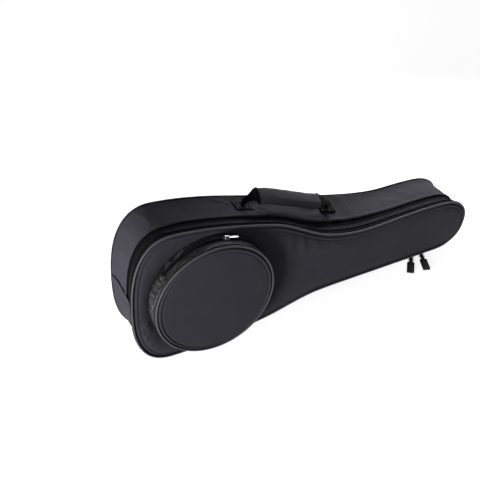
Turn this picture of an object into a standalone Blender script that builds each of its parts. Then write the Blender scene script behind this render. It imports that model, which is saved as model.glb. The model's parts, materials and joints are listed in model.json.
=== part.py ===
"""A padded ukulele gig bag, zipped shut and standing on its long side.

The bag is built in its own frame: x runs from the tail of the lower bout to the tip of the head,
y runs from the front piping (0) to the back piping, and z runs across the width, handle side up.
An empty then pitches it until the lower bout and the head both touch the floor, at z = 0.
"""

import math

import bmesh
import bpy
from mathutils import Matrix, Vector

# Outline of the front and back panels, in metres
BAG_LENGTH = 0.661
BOUT_HALF_WIDTH = 0.120
BOUT_X = 0.070
SHOULDER_HALF_WIDTH = 0.097
SHOULDER_X = 0.235
NECK_HALF_WIDTH = 0.052
NECK_START_X = 0.342
NECK_X = 0.440
HEAD_HALF_WIDTH = 0.0545
HEAD_ROUND_LENGTH = 0.071
TAIL_SQUARENESS = 2.5
HEAD_SQUARENESS = 2.3
NECK_SAG = 0.010
SAG_X = 0.385
SAG_REACH = 0.150
HEAD_LIFT = 0.004
STRAIGHT_START_X = 0.370
STRAIGHT_END_X = 0.600

# Depth of the body and the make-up of its walls
BAG_DEPTH = 0.090
COVER_THICKNESS = 0.0012
FOAM_THICKNESS = 0.005
LINING_THICKNESS = 0.0006
LAYER_GAP = 0.0004
SEAM_GAP = 0.0003
WALL_INSET = 0.0004
GUSSET_SINK = 0.0050
WAIST_LIFT = 0.0225
WAIST_X = 0.370
WAIST_REACH = 0.160
WAIST_START_Y = 0.018
STAND_FADE = 0.120
PIPING_RADIUS = 0.0025
FLOOR_PRESS = 0.0010

# Main zip
ZIP_LINE_Y = 0.015
ZIP_GAP = 0.0016
COIL_WIDTH = 0.0026
COIL_THICKNESS = 0.0018
COIL_PROUD = 0.0004
TAPE_THICKNESS = 0.0010
BACK_TAPE_WIDTH = 0.0112
ZIP_END_X = 0.285
STOP_LENGTH = 0.005
SLIDER_LENGTH = 0.014
SLIDER_WIDTH = 0.011
SLIDER_PLATE = 0.0012
SLIDER_RUNNING_GAP = 0.0005
TAIL_SLIDER_X = 0.5590
HEAD_SLIDER_X = 0.5780

# Sliders' crowns and pulls
CROWN_LENGTH = 0.008
CROWN_HEIGHT = 0.0032
CROWN_THICKNESS = 0.0012
CROWN_BAR = 0.0010
LINK_RADIUS = 0.0005
LINK_WIDTH = 0.0100
LINK_LENGTH = 0.0270
LINK_SLOPE_LENGTH = 0.0100
LINK_CORNER = 0.0012
GRIP_LENGTH = 0.036
GRIP_WIDTH = 0.0135
GRIP_THICKNESS = 0.0026
GRIP_CORNER = 0.0022
GRIP_NECK_WIDTH = 0.0060
GRIP_NECK_LENGTH = 0.0050
GRIP_EYE_MARGIN = 0.0020
EYE_CLEARANCE = 0.00025
FLOOR_CLEARANCE = 0.0002
TAIL_PULL_YAW = math.radians(230)
HEAD_PULL_YAW = math.radians(245)

# Round pocket on the front
POCKET_X = 0.126
POCKET_Z = 0.002
POCKET_RADIUS = 0.100
POCKET_DEPTH = 0.030
POCKET_PIPING_RADIUS = 0.0022
POCKET_WALL = 0.0010
POCKET_ZIP_Y = -0.013
POCKET_ZIP_START = math.radians(38)
POCKET_ZIP_END = math.radians(142)
POCKET_COIL_WIDTH = 0.0020
POCKET_FRONT_CROWN = 0.003
POCKET_PAD_THICKNESS = 0.003
FOLD_SET_BACK = 0.0006
POCKET_SLIDER_ANGLE = math.radians(80)
POCKET_SLIDER_LENGTH = 0.010
POCKET_SLIDER_WIDTH = 0.008
POCKET_PULL_LENGTH = 0.020
POCKET_PULL_WIDTH = 0.005

# Carry handle
HANDLE_TAIL_X = 0.210
HANDLE_HEAD_X = 0.3725
HANDLE_Y = 0.062
STRAP_WIDTH = 0.025
STRAP_END_WIDTH = 0.010
STRAP_THICKNESS = 0.0022
HANDLE_AXIS_HEIGHT = 0.0072
FOLD_RADIUS = 0.0020
FOLD_LENGTH = 0.0060
HANDLE_RISE = 0.024
HANDLE_DROP = 0.011
WRAP_LENGTH = 0.120
WRAP_START = 0.024
WRAP_WIDTH = 0.031
WRAP_THICKNESS = 0.013
WRAP_SLOT_CLEARANCE = 0.0004
HANDLE_LEAN = math.radians(25)
PATCH_LENGTH = 0.032
PATCH_THICKNESS = 0.0016
PATCH_LIFT = 0.0007

# Fineness of the curved walls
OUTLINE_STEP = 0.020
WALL_COLUMNS = 3
RING_STEPS = 48


def clear_scene():
    for thing in list(bpy.data.objects):
        bpy.data.objects.remove(thing, do_unlink=True)


def new_collection(name):
    made = bpy.data.collections.new(name)
    bpy.context.scene.collection.children.link(made)
    return made


def new_material(name, colour, roughness, metallic=0.0):
    made = bpy.data.materials.new(name)
    made.use_nodes = True
    shader = made.node_tree.nodes["Principled BSDF"]
    shader.inputs["Base Color"].default_value = (*colour, 1.0)
    shader.inputs["Roughness"].default_value = roughness
    shader.inputs["Metallic"].default_value = metallic
    return made


def smoothstep(t):
    t = min(max(t, 0.0), 1.0)
    return t * t * (3.0 - 2.0 * t)


class Outline:
    """The bag's closed outline, as a curve followed by its length from the middle of the tail."""

    def __init__(self):
        upper, lower = self.sides()
        self.points = upper + lower[::-1][1:-1]
        closed = self.points + [self.points[0]]
        self.lengths = [0.0]
        for a, b in zip(closed, closed[1:]):
            self.lengths.append(self.lengths[-1] + (b - a).length)
        self.total = self.lengths[-1]
        self.top_count = len(upper)

    @staticmethod
    def half_width(x):
        """Half the bag's width at x: a squarish tail, a smooth flank and a round head."""
        head_x = BAG_LENGTH - HEAD_ROUND_LENGTH
        if x <= BOUT_X:
            share = (BOUT_X - x) / BOUT_X
            return BOUT_HALF_WIDTH * max(1.0 - share**TAIL_SQUARENESS, 0.0) ** (1.0 / TAIL_SQUARENESS)
        if x >= head_x:
            share = min((x - head_x) / HEAD_ROUND_LENGTH, 1.0)
            return HEAD_HALF_WIDTH * max(1.0 - share**HEAD_SQUARENESS, 0.0) ** (1.0 / HEAD_SQUARENESS)
        shoulder_slope = (BOUT_HALF_WIDTH - SHOULDER_HALF_WIDTH) / (BOUT_X - SHOULDER_X)
        neck_start = NECK_HALF_WIDTH + 0.0085
        stations = [
            (BOUT_X, BOUT_HALF_WIDTH, 0.0),
            (SHOULDER_X, SHOULDER_HALF_WIDTH, 1.55 * shoulder_slope),
            (NECK_START_X, neck_start, -0.19),
            (NECK_X, NECK_HALF_WIDTH, 0.0),
            (head_x, HEAD_HALF_WIDTH, 0.0),
        ]
        for (x0, w0, m0), (x1, w1, m1) in zip(stations, stations[1:]):
            if x <= x1:
                span = x1 - x0
                t = (x - x0) / span
                rise = w0 * (2 * t**3 - 3 * t**2 + 1) + w1 * (3 * t**2 - 2 * t**3)
                return rise + span * (m0 * (t**3 - 2 * t**2 + t) + m1 * (t**3 - t**2))
        return HEAD_HALF_WIDTH

    @staticmethod
    def centre(x):
        """The centre line: the neck has sagged a little between the bout and the head."""
        away = (x - SAG_X) / SAG_REACH
        sag = NECK_SAG * 0.5 * (1.0 + math.cos(math.pi * away)) if abs(away) < 1.0 else 0.0
        lift_start = SAG_X + 0.6 * SAG_REACH
        lift_end = BAG_LENGTH - HEAD_ROUND_LENGTH
        return HEAD_LIFT * smoothstep((x - lift_start) / (lift_end - lift_start)) - sag

    def sides(self):
        count = 240
        upper, lower = [], []
        low = {x: self.centre(x) - self.half_width(x) for x in (STRAIGHT_START_X, STRAIGHT_END_X)}
        for k in range(count + 1):
            x = BAG_LENGTH * 0.5 * (1.0 - math.cos(math.pi * k / count))
            middle, half = self.centre(x), self.half_width(x)
            upper.append(Vector((x, middle + half)))
            bottom = middle - half
            if STRAIGHT_START_X < x < STRAIGHT_END_X:
                share = (x - STRAIGHT_START_X) / (STRAIGHT_END_X - STRAIGHT_START_X)
                bottom = low[STRAIGHT_START_X] * (1.0 - share) + low[STRAIGHT_END_X] * share
            lower.append(Vector((x, bottom)))
        return upper, lower

    def point(self, s):
        s = s % self.total
        low, high = 0, len(self.lengths) - 1
        while high - low > 1:
            middle = (low + high) // 2
            if self.lengths[middle] <= s:
                low = middle
            else:
                high = middle
        a = self.points[low]
        b = self.points[(low + 1) % len(self.points)]
        return a.lerp(b, (s - self.lengths[low]) / (self.lengths[low + 1] - self.lengths[low]))

    def inward(self, s):
        """The unit normal that points into the bag."""
        reach = 0.006
        along = (self.point(s + reach) - self.point(s - reach)).normalized()
        return Vector((along.y, -along.x))

    def inset(self, s, distance):
        return self.point(s) + distance * self.inward(s)

    def length_at_lower(self, x):
        """How far along the outline its lower side reaches x."""
        for k in range(len(self.points) - 1, self.top_count - 1, -1):
            if self.points[k].x >= x:
                return self.lengths[k]
        return self.total

    def length_at_upper(self, x):
        for k in range(self.top_count):
            if self.points[k].x >= x:
                return self.lengths[k]
        return 0.0


OUTLINE = Outline()
ZIP_END = OUTLINE.length_at_lower(ZIP_END_X)


def height_at_pitch(point, pitch):
    return -point.x * math.sin(pitch) + point.y * math.cos(pitch)


def standing_pitch():
    """The pitch at which the bout is pressed into the floor by FLOOR_PRESS and the head just touches."""
    lower = OUTLINE.points[OUTLINE.top_count :]
    bout = [p for p in lower if p.x < SHOULDER_X]
    head = [p for p in lower if p.x > NECK_X]
    low, high = 0.0, math.radians(20)
    for _ in range(50):
        pitch = 0.5 * (low + high)
        gap = min(height_at_pitch(p, pitch) for p in head) - min(height_at_pitch(p, pitch) for p in bout)
        low, high = (pitch, high) if gap > FLOOR_PRESS else (low, pitch)
    contact = min(bout, key=lambda p: height_at_pitch(p, pitch))
    return pitch, contact


PITCH, CONTACT = standing_pitch()
CONTACT_LENGTH = OUTLINE.length_at_lower(CONTACT.x)
WAIST_LENGTH = OUTLINE.length_at_upper(WAIST_X)


def waist(s):
    """How near the outline is to the waist: 1 in the middle of it and 0 outside its reach."""
    away = (s - WAIST_LENGTH) / WAIST_REACH
    return 0.5 * (1.0 + math.cos(math.pi * away)) if abs(away) < 1.0 else 0.0


def lift(s, y):
    """How far the handle has drawn the waist out of the outline. It grows evenly towards the back."""
    return WAIST_LIFT * waist(s) * max(y - WAIST_START_Y, 0.0) / (BAG_DEPTH - WAIST_START_Y)


def sink(s, y):
    """How far the side wall is drawn in between its pipings. It's flat where the bag stands or is lifted."""
    across = 1.0 - (2.0 * y / BAG_DEPTH - 1.0) ** 4
    return GUSSET_SINK * across * smoothstep(abs(s - CONTACT_LENGTH) / STAND_FADE) * (1.0 - waist(s))


def wall_point(s, y, inset):
    flat = OUTLINE.inset(s, inset + sink(s, y) - lift(s, y))
    return Vector((flat.x, y, flat.y))


def wall_axes(s, y):
    """The axes of a fitting on the side wall: along it, across it towards the back, and out of the bag."""
    reach = 0.002
    along = (wall_point(s + reach, y, 0.0) - wall_point(s - reach, y, 0.0)).normalized()
    across = wall_point(s, y + reach, 0.0) - wall_point(s, y - reach, 0.0)
    across = (across - across.dot(along) * along).normalized()
    return along, across, along.cross(across)


def link(obj, collection, material=None, parent=None):
    """Puts an object in its collection, and hangs it on an empty that only moves it, within the bag's frame."""
    collection.objects.link(obj)
    if material is not None:
        obj.data.materials.append(material)
    if parent is not None:
        obj.parent = parent
    return obj


def bag_place(joint):
    """Where a joint's empty is in the bag's frame, through the empties that it hangs on."""
    place = Vector((0, 0, 0))
    while joint is not BAG_POSE:
        place += joint.location
        joint = joint.parent
    return place


def joint_empty(name, place, parent, axes=None):
    """An empty at a place given in the bag's frame. Its axes are the bag's, or three given ones."""
    made = bpy.data.objects.new(name, None)
    made.empty_display_size = 0.02
    BAG.objects.link(made)
    made.parent = parent
    made.location = Vector(place) - bag_place(parent)
    if axes is not None:
        made.rotation_mode = "QUATERNION"
        made.rotation_quaternion = Matrix(axes).transposed().to_quaternion()
    return made


def hang(obj, joint):
    """A piece drawn in the bag's frame hangs on its joint's empty, which is moved and not turned."""
    obj.parent = joint
    obj.location = -bag_place(joint)
    return obj


def smooth(mesh, degrees=35):
    mesh.shade_smooth()
    mesh.set_sharp_from_angle(angle=math.radians(degrees))


def loft(name, sections, material):
    """A closed solid through equal loops of points. Each end is closed by a ladder across its loop.

    The two halves of a loop are split along the same diagonal, so that a twisted wall keeps its
    thickness and the layers inside it stay clear of it.
    """
    work = bmesh.new()
    rings = [[work.verts.new(p) for p in section] for section in sections]
    count = len(rings[0])
    for a, b in zip(rings, rings[1:]):
        for k in range(count):
            n = (k + 1) % count
            if k < count // 2:
                work.faces.new((a[k], a[n], b[n]))
                work.faces.new((a[k], b[n], b[k]))
            else:
                work.faces.new((a[k], a[n], b[k]))
                work.faces.new((a[n], b[n], b[k]))
    for end in (rings[0], rings[-1]):
        for k in range(count // 2 - 1):
            work.faces.new((end[k], end[k + 1], end[count - 2 - k], end[count - 1 - k]))
    return finished(name, work, material)


def finished(name, work, material):
    bmesh.ops.recalc_face_normals(work, faces=work.faces)
    mesh = bpy.data.meshes.new(name)
    work.to_mesh(mesh)
    work.free()
    smooth(mesh)
    return link(bpy.data.objects.new(name, mesh), BAG, material)


def side_wall(name, start, end, y0, y1, inset, thickness, material, joint, columns=WALL_COLUMNS):
    """A stretch of the bag's side wall, from start to end along the outline and from y0 to y1."""
    steps = max(2, round((end - start) / OUTLINE_STEP))
    across = [y0 + (y1 - y0) * j / columns for j in range(columns + 1)]
    sections = []
    for i in range(steps + 1):
        s = start + (end - start) * i / steps
        outer = [wall_point(s, y, inset) for y in across]
        inner = [wall_point(s, y, inset + thickness) for y in reversed(across)]
        sections.append(outer + inner)
    return hang(loft(name, sections, material), joint)


def ring_wall(name, start, end, y0, y1, radius, thickness, material, joint):
    """A stretch of the pocket's round wall, between two angles from the +x direction."""
    steps = max(2, round(RING_STEPS * (end - start) / (2 * math.pi)))
    sections = []
    for i in range(steps + 1):
        angle = start + (end - start) * i / steps
        corners = ((radius, y0), (radius, y1), (radius - thickness, y1), (radius - thickness, y0))
        sections.append([(POCKET_X + r * math.cos(angle), y, POCKET_Z + r * math.sin(angle)) for r, y in corners])
    return hang(loft(name, sections, material), joint)


def flat_curve(name, loops, half_thickness):
    """A flat closed outline in the curve's own XY plane, filled and extruded both ways."""
    curve = bpy.data.curves.new(name, "CURVE")
    curve.dimensions = "2D"
    curve.fill_mode = "BOTH"
    curve.extrude = half_thickness
    for loop in loops:
        spline = curve.splines.new("POLY")
        spline.points.add(len(loop) - 1)
        for point, (x, y) in zip(spline.points, loop):
            point.co = (x, y, 0.0, 1.0)
        spline.use_cyclic_u = True
    return bpy.data.objects.new(name, curve)


def panel(name, inset, y0, y1, material, joint):
    """A flat layer of the front or the back, shaped like the outline."""
    steps = round(OUTLINE.total / OUTLINE_STEP)
    loop = []
    for i in range(steps):
        s = OUTLINE.total * i / steps
        flat = OUTLINE.inset(s, inset - lift(s, 0.5 * (y0 + y1)))
        loop.append((flat.x, flat.y))
    obj = link(flat_curve(name, [loop], 0.5 * (y1 - y0)), BAG, material)
    hang(obj, joint)
    obj.rotation_euler = (math.radians(90), 0, 0)
    obj.location = Vector(obj.location) + Vector((0, 0.5 * (y0 + y1), 0))
    return obj


def tube(name, points, radius, material, cyclic=True, resolution=2):
    curve = bpy.data.curves.new(name, "CURVE")
    curve.dimensions = "3D"
    curve.bevel_depth = radius
    curve.bevel_resolution = resolution
    curve.use_fill_caps = not cyclic
    spline = curve.splines.new("POLY")
    spline.points.add(len(points) - 1)
    for point, co in zip(spline.points, points):
        point.co = (*co, 1.0)
    spline.use_cyclic_u = cyclic
    return link(bpy.data.objects.new(name, curve), BAG, material)


def meshed(obj):
    """The same object as a mesh, so that it can be cut."""
    graph = bpy.context.evaluated_depsgraph_get()
    mesh = bpy.data.meshes.new_from_object(obj.evaluated_get(graph))
    work = bmesh.new()
    work.from_mesh(mesh)
    bmesh.ops.remove_doubles(work, verts=work.verts, dist=1e-6)
    work.to_mesh(mesh)
    work.free()
    name, parent, location = obj.name, obj.parent, obj.location.copy()
    rotation = obj.rotation_euler.copy()
    bpy.data.objects.remove(obj, do_unlink=True)
    made = bpy.data.objects.new(name, mesh)
    BAG.objects.link(made)
    made.parent = parent
    made.location = location
    made.rotation_euler = rotation
    smooth(mesh, 50)
    return made


def piping(name, y, material, joint):
    steps = round(OUTLINE.total / OUTLINE_STEP)
    points = []
    for i in range(steps):
        s = OUTLINE.total * i / steps
        flat = OUTLINE.inset(s, PIPING_RADIUS - lift(s, y))
        points.append((flat.x, y, flat.y))
    obj = tube(name, points, PIPING_RADIUS, material)
    bpy.context.view_layer.update()
    return hang(meshed(obj), joint)


def box_mesh(name, low, high):
    work = bmesh.new()
    size = Vector(high) - Vector(low)
    middle = (Vector(high) + Vector(low)) / 2
    bmesh.ops.create_cube(work, size=1.0, matrix=Matrix.Translation(middle) @ Matrix.Diagonal((*size, 1.0)))
    mesh = bpy.data.meshes.new(name)
    work.to_mesh(mesh)
    work.free()
    return mesh


def box(name, low, high, collection, material=None):
    return link(bpy.data.objects.new(name, box_mesh(name, low, high)), collection, material)


def rod(name, radius, length, turn_axis):
    """A hidden round bar through the origin, turned a quarter about one axis from standing upright."""
    work = bmesh.new()
    bmesh.ops.create_cone(
        work,
        cap_ends=True,
        segments=12,
        radius1=radius,
        radius2=radius,
        depth=length,
        matrix=Matrix.Rotation(math.radians(90), 4, turn_axis),
    )
    mesh = bpy.data.meshes.new(name)
    work.to_mesh(mesh)
    work.free()
    return link(bpy.data.objects.new(name, mesh), TOOLS)


def combine(obj, tool, operation):
    """Adds a hidden shape to an object, or takes it away."""
    tool.hide_render = True
    tool.display_type = "WIRE"
    step = obj.modifiers.new(operation.lower(), "BOOLEAN")
    step.operation = operation
    step.solver = "EXACT"
    step.object = tool


def press_on_floor(obj):
    """Cuts a piece flat where the bag stands on it."""
    combine(obj, FLOOR_CUTTER, "DIFFERENCE")


def slider(name, length, width, inner_side, post_side, coil_depth, blade, parent):
    """A zip slider: outer and inner plates joined by a post between the coils, and a crown on top.

    Its own frame has x along the zip, y across it towards the back, and z out of the bag, from the
    coil's outer face. inner_side is the range of y that the inner plate covers, and post_side says
    at which end the post stands.
    """
    gap = SLIDER_RUNNING_GAP
    inner_gap = 0.0012
    low = -coil_depth - inner_gap - SLIDER_PLATE
    plate = box(
        name,
        (-length / 2, -width / 2, gap),
        (length / 2, width / 2, gap + SLIDER_PLATE),
        BAG,
        NICKEL,
    )
    overlap = 0.0002
    post_x = sorted((post_side * length * 0.18, post_side * length * 0.44))
    post = box(
        name + "_post",
        (post_x[0], -blade / 2, low + overlap),
        (post_x[1], blade / 2, gap + overlap),
        TOOLS,
    )
    inner = box(
        name + "_inner",
        (-length * 0.45, inner_side[0], low),
        (length * 0.45, inner_side[1], low + SLIDER_PLATE),
        TOOLS,
    )
    top = gap + SLIDER_PLATE
    half = min(CROWN_LENGTH, length * 0.8) / 2
    slope = 0.0006
    arch = flat_curve(
        name + "_crown",
        [
            [
                (-half, top - overlap),
                (half, top - overlap),
                (half, top + CROWN_HEIGHT - slope),
                (half - slope, top + CROWN_HEIGHT),
                (-half + slope, top + CROWN_HEIGHT),
                (-half, top + CROWN_HEIGHT - slope),
            ],
            [
                (-half + CROWN_BAR, top + CROWN_BAR * 0.3),
                (half - CROWN_BAR, top + CROWN_BAR * 0.3),
                (half - CROWN_BAR, top + CROWN_HEIGHT - CROWN_BAR - slope),
                (half - CROWN_BAR - slope, top + CROWN_HEIGHT - CROWN_BAR),
                (-half + CROWN_BAR + slope, top + CROWN_HEIGHT - CROWN_BAR),
                (-half + CROWN_BAR, top + CROWN_HEIGHT - CROWN_BAR - slope),
            ],
        ],
        CROWN_THICKNESS / 2,
    )
    link(arch, BAG)
    bpy.context.view_layer.update()
    arch = meshed(arch)
    BAG.objects.unlink(arch)
    TOOLS.objects.link(arch)
    arch.rotation_euler = (math.radians(90), 0, 0)
    for piece in (plate, post, inner, arch):
        piece.parent = parent
    for piece in (inner, post, arch):
        combine(plate, piece, "UNION")
    return plate


clear_scene()
BAG = new_collection("ukulele_gig_bag")
TOOLS = new_collection("cutters")

OXFORD = new_material("oxford_cover", (0.038, 0.037, 0.043), 0.62)
PIPING = new_material("piping_tape", (0.030, 0.030, 0.034), 0.45)
FOAM = new_material("eva_foam", (0.30, 0.30, 0.31), 0.85)
LINING = new_material("lining_cloth", (0.05, 0.05, 0.055), 0.75)
TAPE = new_material("zip_tape", (0.018, 0.017, 0.021), 0.70)
COIL = new_material("nylon_coil", (0.012, 0.012, 0.014), 0.35)
WEBBING = new_material("webbing", (0.016, 0.016, 0.018), 0.65)
GRIP = new_material("moulded_grip", (0.010, 0.010, 0.012), 0.50)
NICKEL = new_material("nickel", (0.55, 0.55, 0.56), 0.25, 1.0)

BAG_POSE = bpy.data.objects.new("bag_pose", None)
BAG.objects.link(BAG_POSE)
PLACE = Matrix.Rotation(PITCH, 4, "Y")
contact_world = PLACE @ Vector((CONTACT.x, BAG_DEPTH / 2, CONTACT.y))
BAG_POSE.matrix_world = Matrix.Translation(Vector((0, 0, -FLOOR_PRESS)) - contact_world) @ PLACE

FLOOR_CUTTER = box("floor_cutter", (-0.12, -BAG_DEPTH, -0.03), (0.12, BAG_DEPTH, 0.0), TOOLS)

FOLD_CUTTERS = {}

FRONT_Y = PIPING_RADIUS + SEAM_GAP
BACK_Y = BAG_DEPTH - PIPING_RADIUS - SEAM_GAP
PANEL_INSET = 2 * PIPING_RADIUS + SEAM_GAP
FOAM_START = COVER_THICKNESS / 2 + LAYER_GAP
LINING_START = FOAM_START + FOAM_THICKNESS + LAYER_GAP
LINING_END = LINING_START + LINING_THICKNESS
COIL_INNER = ZIP_GAP / 2
COIL_OUTER = ZIP_GAP / 2 + COIL_WIDTH
BACK_TAPE_Y = ZIP_LINE_Y + COIL_OUTER + SEAM_GAP
GUSSET_Y = BACK_TAPE_Y + BACK_TAPE_WIDTH + SEAM_GAP
WALL_FOAM_INSET = WALL_INSET + COVER_THICKNESS + LAYER_GAP
WALL_LINING_INSET = WALL_FOAM_INSET + FOAM_THICKNESS + LAYER_GAP
COIL_INSET = WALL_INSET - COIL_PROUD
ZIPPED = (SEAM_GAP, ZIP_END - SEAM_GAP)
HINGED = (ZIP_END + SEAM_GAP, OUTLINE.total - SEAM_GAP)
COILED = (STOP_LENGTH + 2 * SEAM_GAP, ZIP_END - STOP_LENGTH - 2 * SEAM_GAP)

LOWEST = min(p.y for p in OUTLINE.points)
LID_HINGE = joint_empty("lid_hinge", (0, ZIP_LINE_Y, LOWEST), BAG_POSE)
FOLD_Z = POCKET_Z + POCKET_RADIUS * math.sin(POCKET_ZIP_START)
FOLD_Y = -(POCKET_DEPTH + POCKET_FRONT_CROWN - FOLD_SET_BACK)
FLAP_HINGE = joint_empty("pocket_flap_hinge", (POCKET_X, FOLD_Y, FOLD_Z), LID_HINGE)
FOLD_CUTTERS[True] = box(
    "below_fold",
    (-2 * POCKET_RADIUS, -POCKET_RADIUS, -3 * POCKET_RADIUS),
    (2 * POCKET_RADIUS, POCKET_RADIUS, SEAM_GAP / 2),
    TOOLS,
)
FOLD_CUTTERS[False] = box(
    "above_fold",
    (-2 * POCKET_RADIUS, -POCKET_RADIUS, -SEAM_GAP / 2),
    (2 * POCKET_RADIUS, POCKET_RADIUS, 3 * POCKET_RADIUS),
    TOOLS,
)
for cutter in FOLD_CUTTERS.values():
    cutter.parent = FLAP_HINGE


def build_back():
    """The back panel, and the side wall behind the zip."""
    y = BAG_DEPTH
    half = COVER_THICKNESS / 2
    panel("back_panel", PANEL_INSET, y - half, y + half, OXFORD, BAG_POSE)
    panel("back_foam", PANEL_INSET, y - FOAM_START - FOAM_THICKNESS, y - FOAM_START, FOAM, BAG_POSE)
    panel("back_lining", PANEL_INSET, y - LINING_END, y - LINING_START, LINING, BAG_POSE)
    press_on_floor(piping("back_piping", y, PIPING, BAG_POSE))
    inner_end = y - LINING_END - SEAM_GAP
    side_wall("gusset", *ZIPPED, GUSSET_Y, BACK_Y, WALL_INSET, COVER_THICKNESS, OXFORD, BAG_POSE)
    foam = (WALL_FOAM_INSET, FOAM_THICKNESS, FOAM, BAG_POSE)
    lining = (WALL_LINING_INSET, LINING_THICKNESS, LINING, BAG_POSE)
    side_wall("gusset_foam", *ZIPPED, GUSSET_Y, inner_end, *foam)
    side_wall("gusset_lining", *ZIPPED, GUSSET_Y, inner_end, *lining)
    start = ZIP_LINE_Y + SEAM_GAP
    press_on_floor(
        side_wall("hinge_gusset", *HINGED, start, BACK_Y, WALL_INSET, COVER_THICKNESS, OXFORD, BAG_POSE)
    )
    side_wall("hinge_gusset_foam", *HINGED, start, inner_end, *foam)
    side_wall("hinge_gusset_lining", *HINGED, start, inner_end, *lining)


def build_lid():
    """The padded front panel with its piping and the strip that folds where there is no zip."""
    half = COVER_THICKNESS / 2
    panel("front_panel", PANEL_INSET, -half, half, OXFORD, LID_HINGE)
    panel("front_foam", PANEL_INSET, FOAM_START, FOAM_START + FOAM_THICKNESS, FOAM, LID_HINGE)
    panel("front_lining", PANEL_INSET, LINING_START, LINING_END, LINING, LID_HINGE)
    press_on_floor(piping("front_piping", 0.0, PIPING, LID_HINGE))
    press_on_floor(
        side_wall(
            "hinge_strip",
            *HINGED,
            FRONT_Y,
            ZIP_LINE_Y - SEAM_GAP,
            WALL_INSET,
            COVER_THICKNESS,
            OXFORD,
            LID_HINGE,
            columns=1,
        )
    )


def build_main_zip():
    """Tapes and coils of the main zip, half on each side of its line, and a stop at each end."""
    y = ZIP_LINE_Y
    side_wall(
        "front_zip_tape",
        *ZIPPED,
        FRONT_Y,
        y - COIL_OUTER - SEAM_GAP,
        WALL_INSET,
        TAPE_THICKNESS,
        TAPE,
        LID_HINGE,
        columns=1,
    )
    side_wall(
        "front_zip_coil",
        *COILED,
        y - COIL_OUTER,
        y - COIL_INNER,
        COIL_INSET,
        COIL_THICKNESS,
        COIL,
        LID_HINGE,
        columns=1,
    )
    side_wall(
        "back_zip_coil",
        *COILED,
        y + COIL_INNER,
        y + COIL_OUTER,
        COIL_INSET,
        COIL_THICKNESS,
        COIL,
        BAG_POSE,
        columns=1,
    )
    side_wall(
        "back_zip_tape",
        *ZIPPED,
        BACK_TAPE_Y,
        BACK_TAPE_Y + BACK_TAPE_WIDTH,
        WALL_INSET,
        TAPE_THICKNESS,
        TAPE,
        BAG_POSE,
        columns=2,
    )
    for name, start in (("tail_zip_stop", ZIPPED[0]), ("waist_zip_stop", ZIPPED[1] - STOP_LENGTH)):
        side_wall(
            name,
            start,
            start + STOP_LENGTH,
            y - COIL_OUTER,
            y + COIL_OUTER,
            COIL_INSET,
            COIL_THICKNESS,
            NICKEL,
            BAG_POSE,
            columns=1,
        )


def arc(x, y, radius, start, end, steps=4):
    angles = [math.radians(start + (end - start) * k / steps) for k in range(steps + 1)]
    return [(x + radius * math.cos(a), y + radius * math.sin(a)) for a in angles]


def pull_link(name, near_height, far_height, material, parent):
    """A wire link that runs through the slider's crown, down to the floor and through the grip's eye."""
    half, corner, length = LINK_WIDTH / 2, LINK_CORNER, LINK_LENGTH
    slope = near_height - far_height

    def drop(x):
        return -slope * min(x / LINK_SLOPE_LENGTH, 1.0)

    side = [
        (0.0, half - corner),
        (corner, half),
        (LINK_SLOPE_LENGTH, half),
        (length - corner, half),
        (length, half - corner),
    ]
    loop = side + [(x, -y) for x, y in reversed(side)]
    link_tube = tube(name, [(x, y, drop(x)) for x, y in loop], LINK_RADIUS, material, resolution=1)
    link_tube.parent = parent
    return link_tube


def pull_grip(name, material, parent):
    """A moulded grip: a narrow neck with an eye for the link, and a flat body with rounded corners."""
    neck, half = GRIP_NECK_WIDTH / 2, GRIP_WIDTH / 2
    start = -GRIP_EYE_MARGIN
    body = GRIP_NECK_LENGTH
    end = start + GRIP_LENGTH
    corner = GRIP_CORNER
    upper = (
        arc(start + corner * 0.4, neck - corner * 0.4, corner * 0.4, 180, 90, 2)
        + [(body - corner * 0.5, neck)]
        + arc(body + corner, half - corner, corner, 170, 90, 3)
        + arc(end - corner, half - corner, corner, 90, 0, 4)
    )
    loop = upper + [(x, -y) for x, y in reversed(upper)]
    grip = link(flat_curve(name, [loop], GRIP_THICKNESS / 2), BAG, material)
    bpy.context.view_layer.update()
    grip = meshed(grip)
    hole = rod(name + "_eye", LINK_RADIUS + EYE_CLEARANCE, 2 * GRIP_WIDTH, "X")
    for piece in (grip, hole):
        piece.parent = parent
    combine(grip, hole, "DIFFERENCE")
    return grip


def build_main_slider(side, x, post_side, pull_yaw):
    """One of the two main sliders, with its link and grip lying on the floor in front of the bag."""
    s = OUTLINE.length_at_lower(x)
    seat = wall_point(s, ZIP_LINE_Y, COIL_INSET)
    run = joint_empty(side + "_slider_run", seat, LID_HINGE, wall_axes(s, ZIP_LINE_Y))
    blade = ZIP_GAP - 2 * SEAM_GAP
    inner_side = (-SLIDER_WIDTH / 2, blade / 2)
    slider(side + "_slider", SLIDER_LENGTH, SLIDER_WIDTH, inner_side, post_side, COIL_THICKNESS, blade, run)
    crown = SLIDER_RUNNING_GAP + SLIDER_PLATE + CROWN_HEIGHT - CROWN_BAR
    pivot_height = crown - LINK_RADIUS - EYE_CLEARANCE
    bpy.context.view_layer.update()
    pivot = run.matrix_world @ Vector((0, 0, pivot_height))
    swing = bpy.data.objects.new(side + "_pull_swing", None)
    BAG.objects.link(swing)
    swing.parent = run
    swing.matrix_world = Matrix.Translation(pivot) @ Matrix.Rotation(pull_yaw, 4, "Z")
    bpy.context.view_layer.update()
    eye_height = FLOOR_CLEARANCE + GRIP_THICKNESS / 2
    pull_link(side + "_pull_link", pivot.z, eye_height, NICKEL, swing)
    turn = bpy.data.objects.new(side + "_grip_turn", None)
    BAG.objects.link(turn)
    turn.parent = swing
    turn.location = (LINK_LENGTH, 0, eye_height - pivot.z)
    pull_grip(side + "_pull_grip", GRIP, turn)


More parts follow.
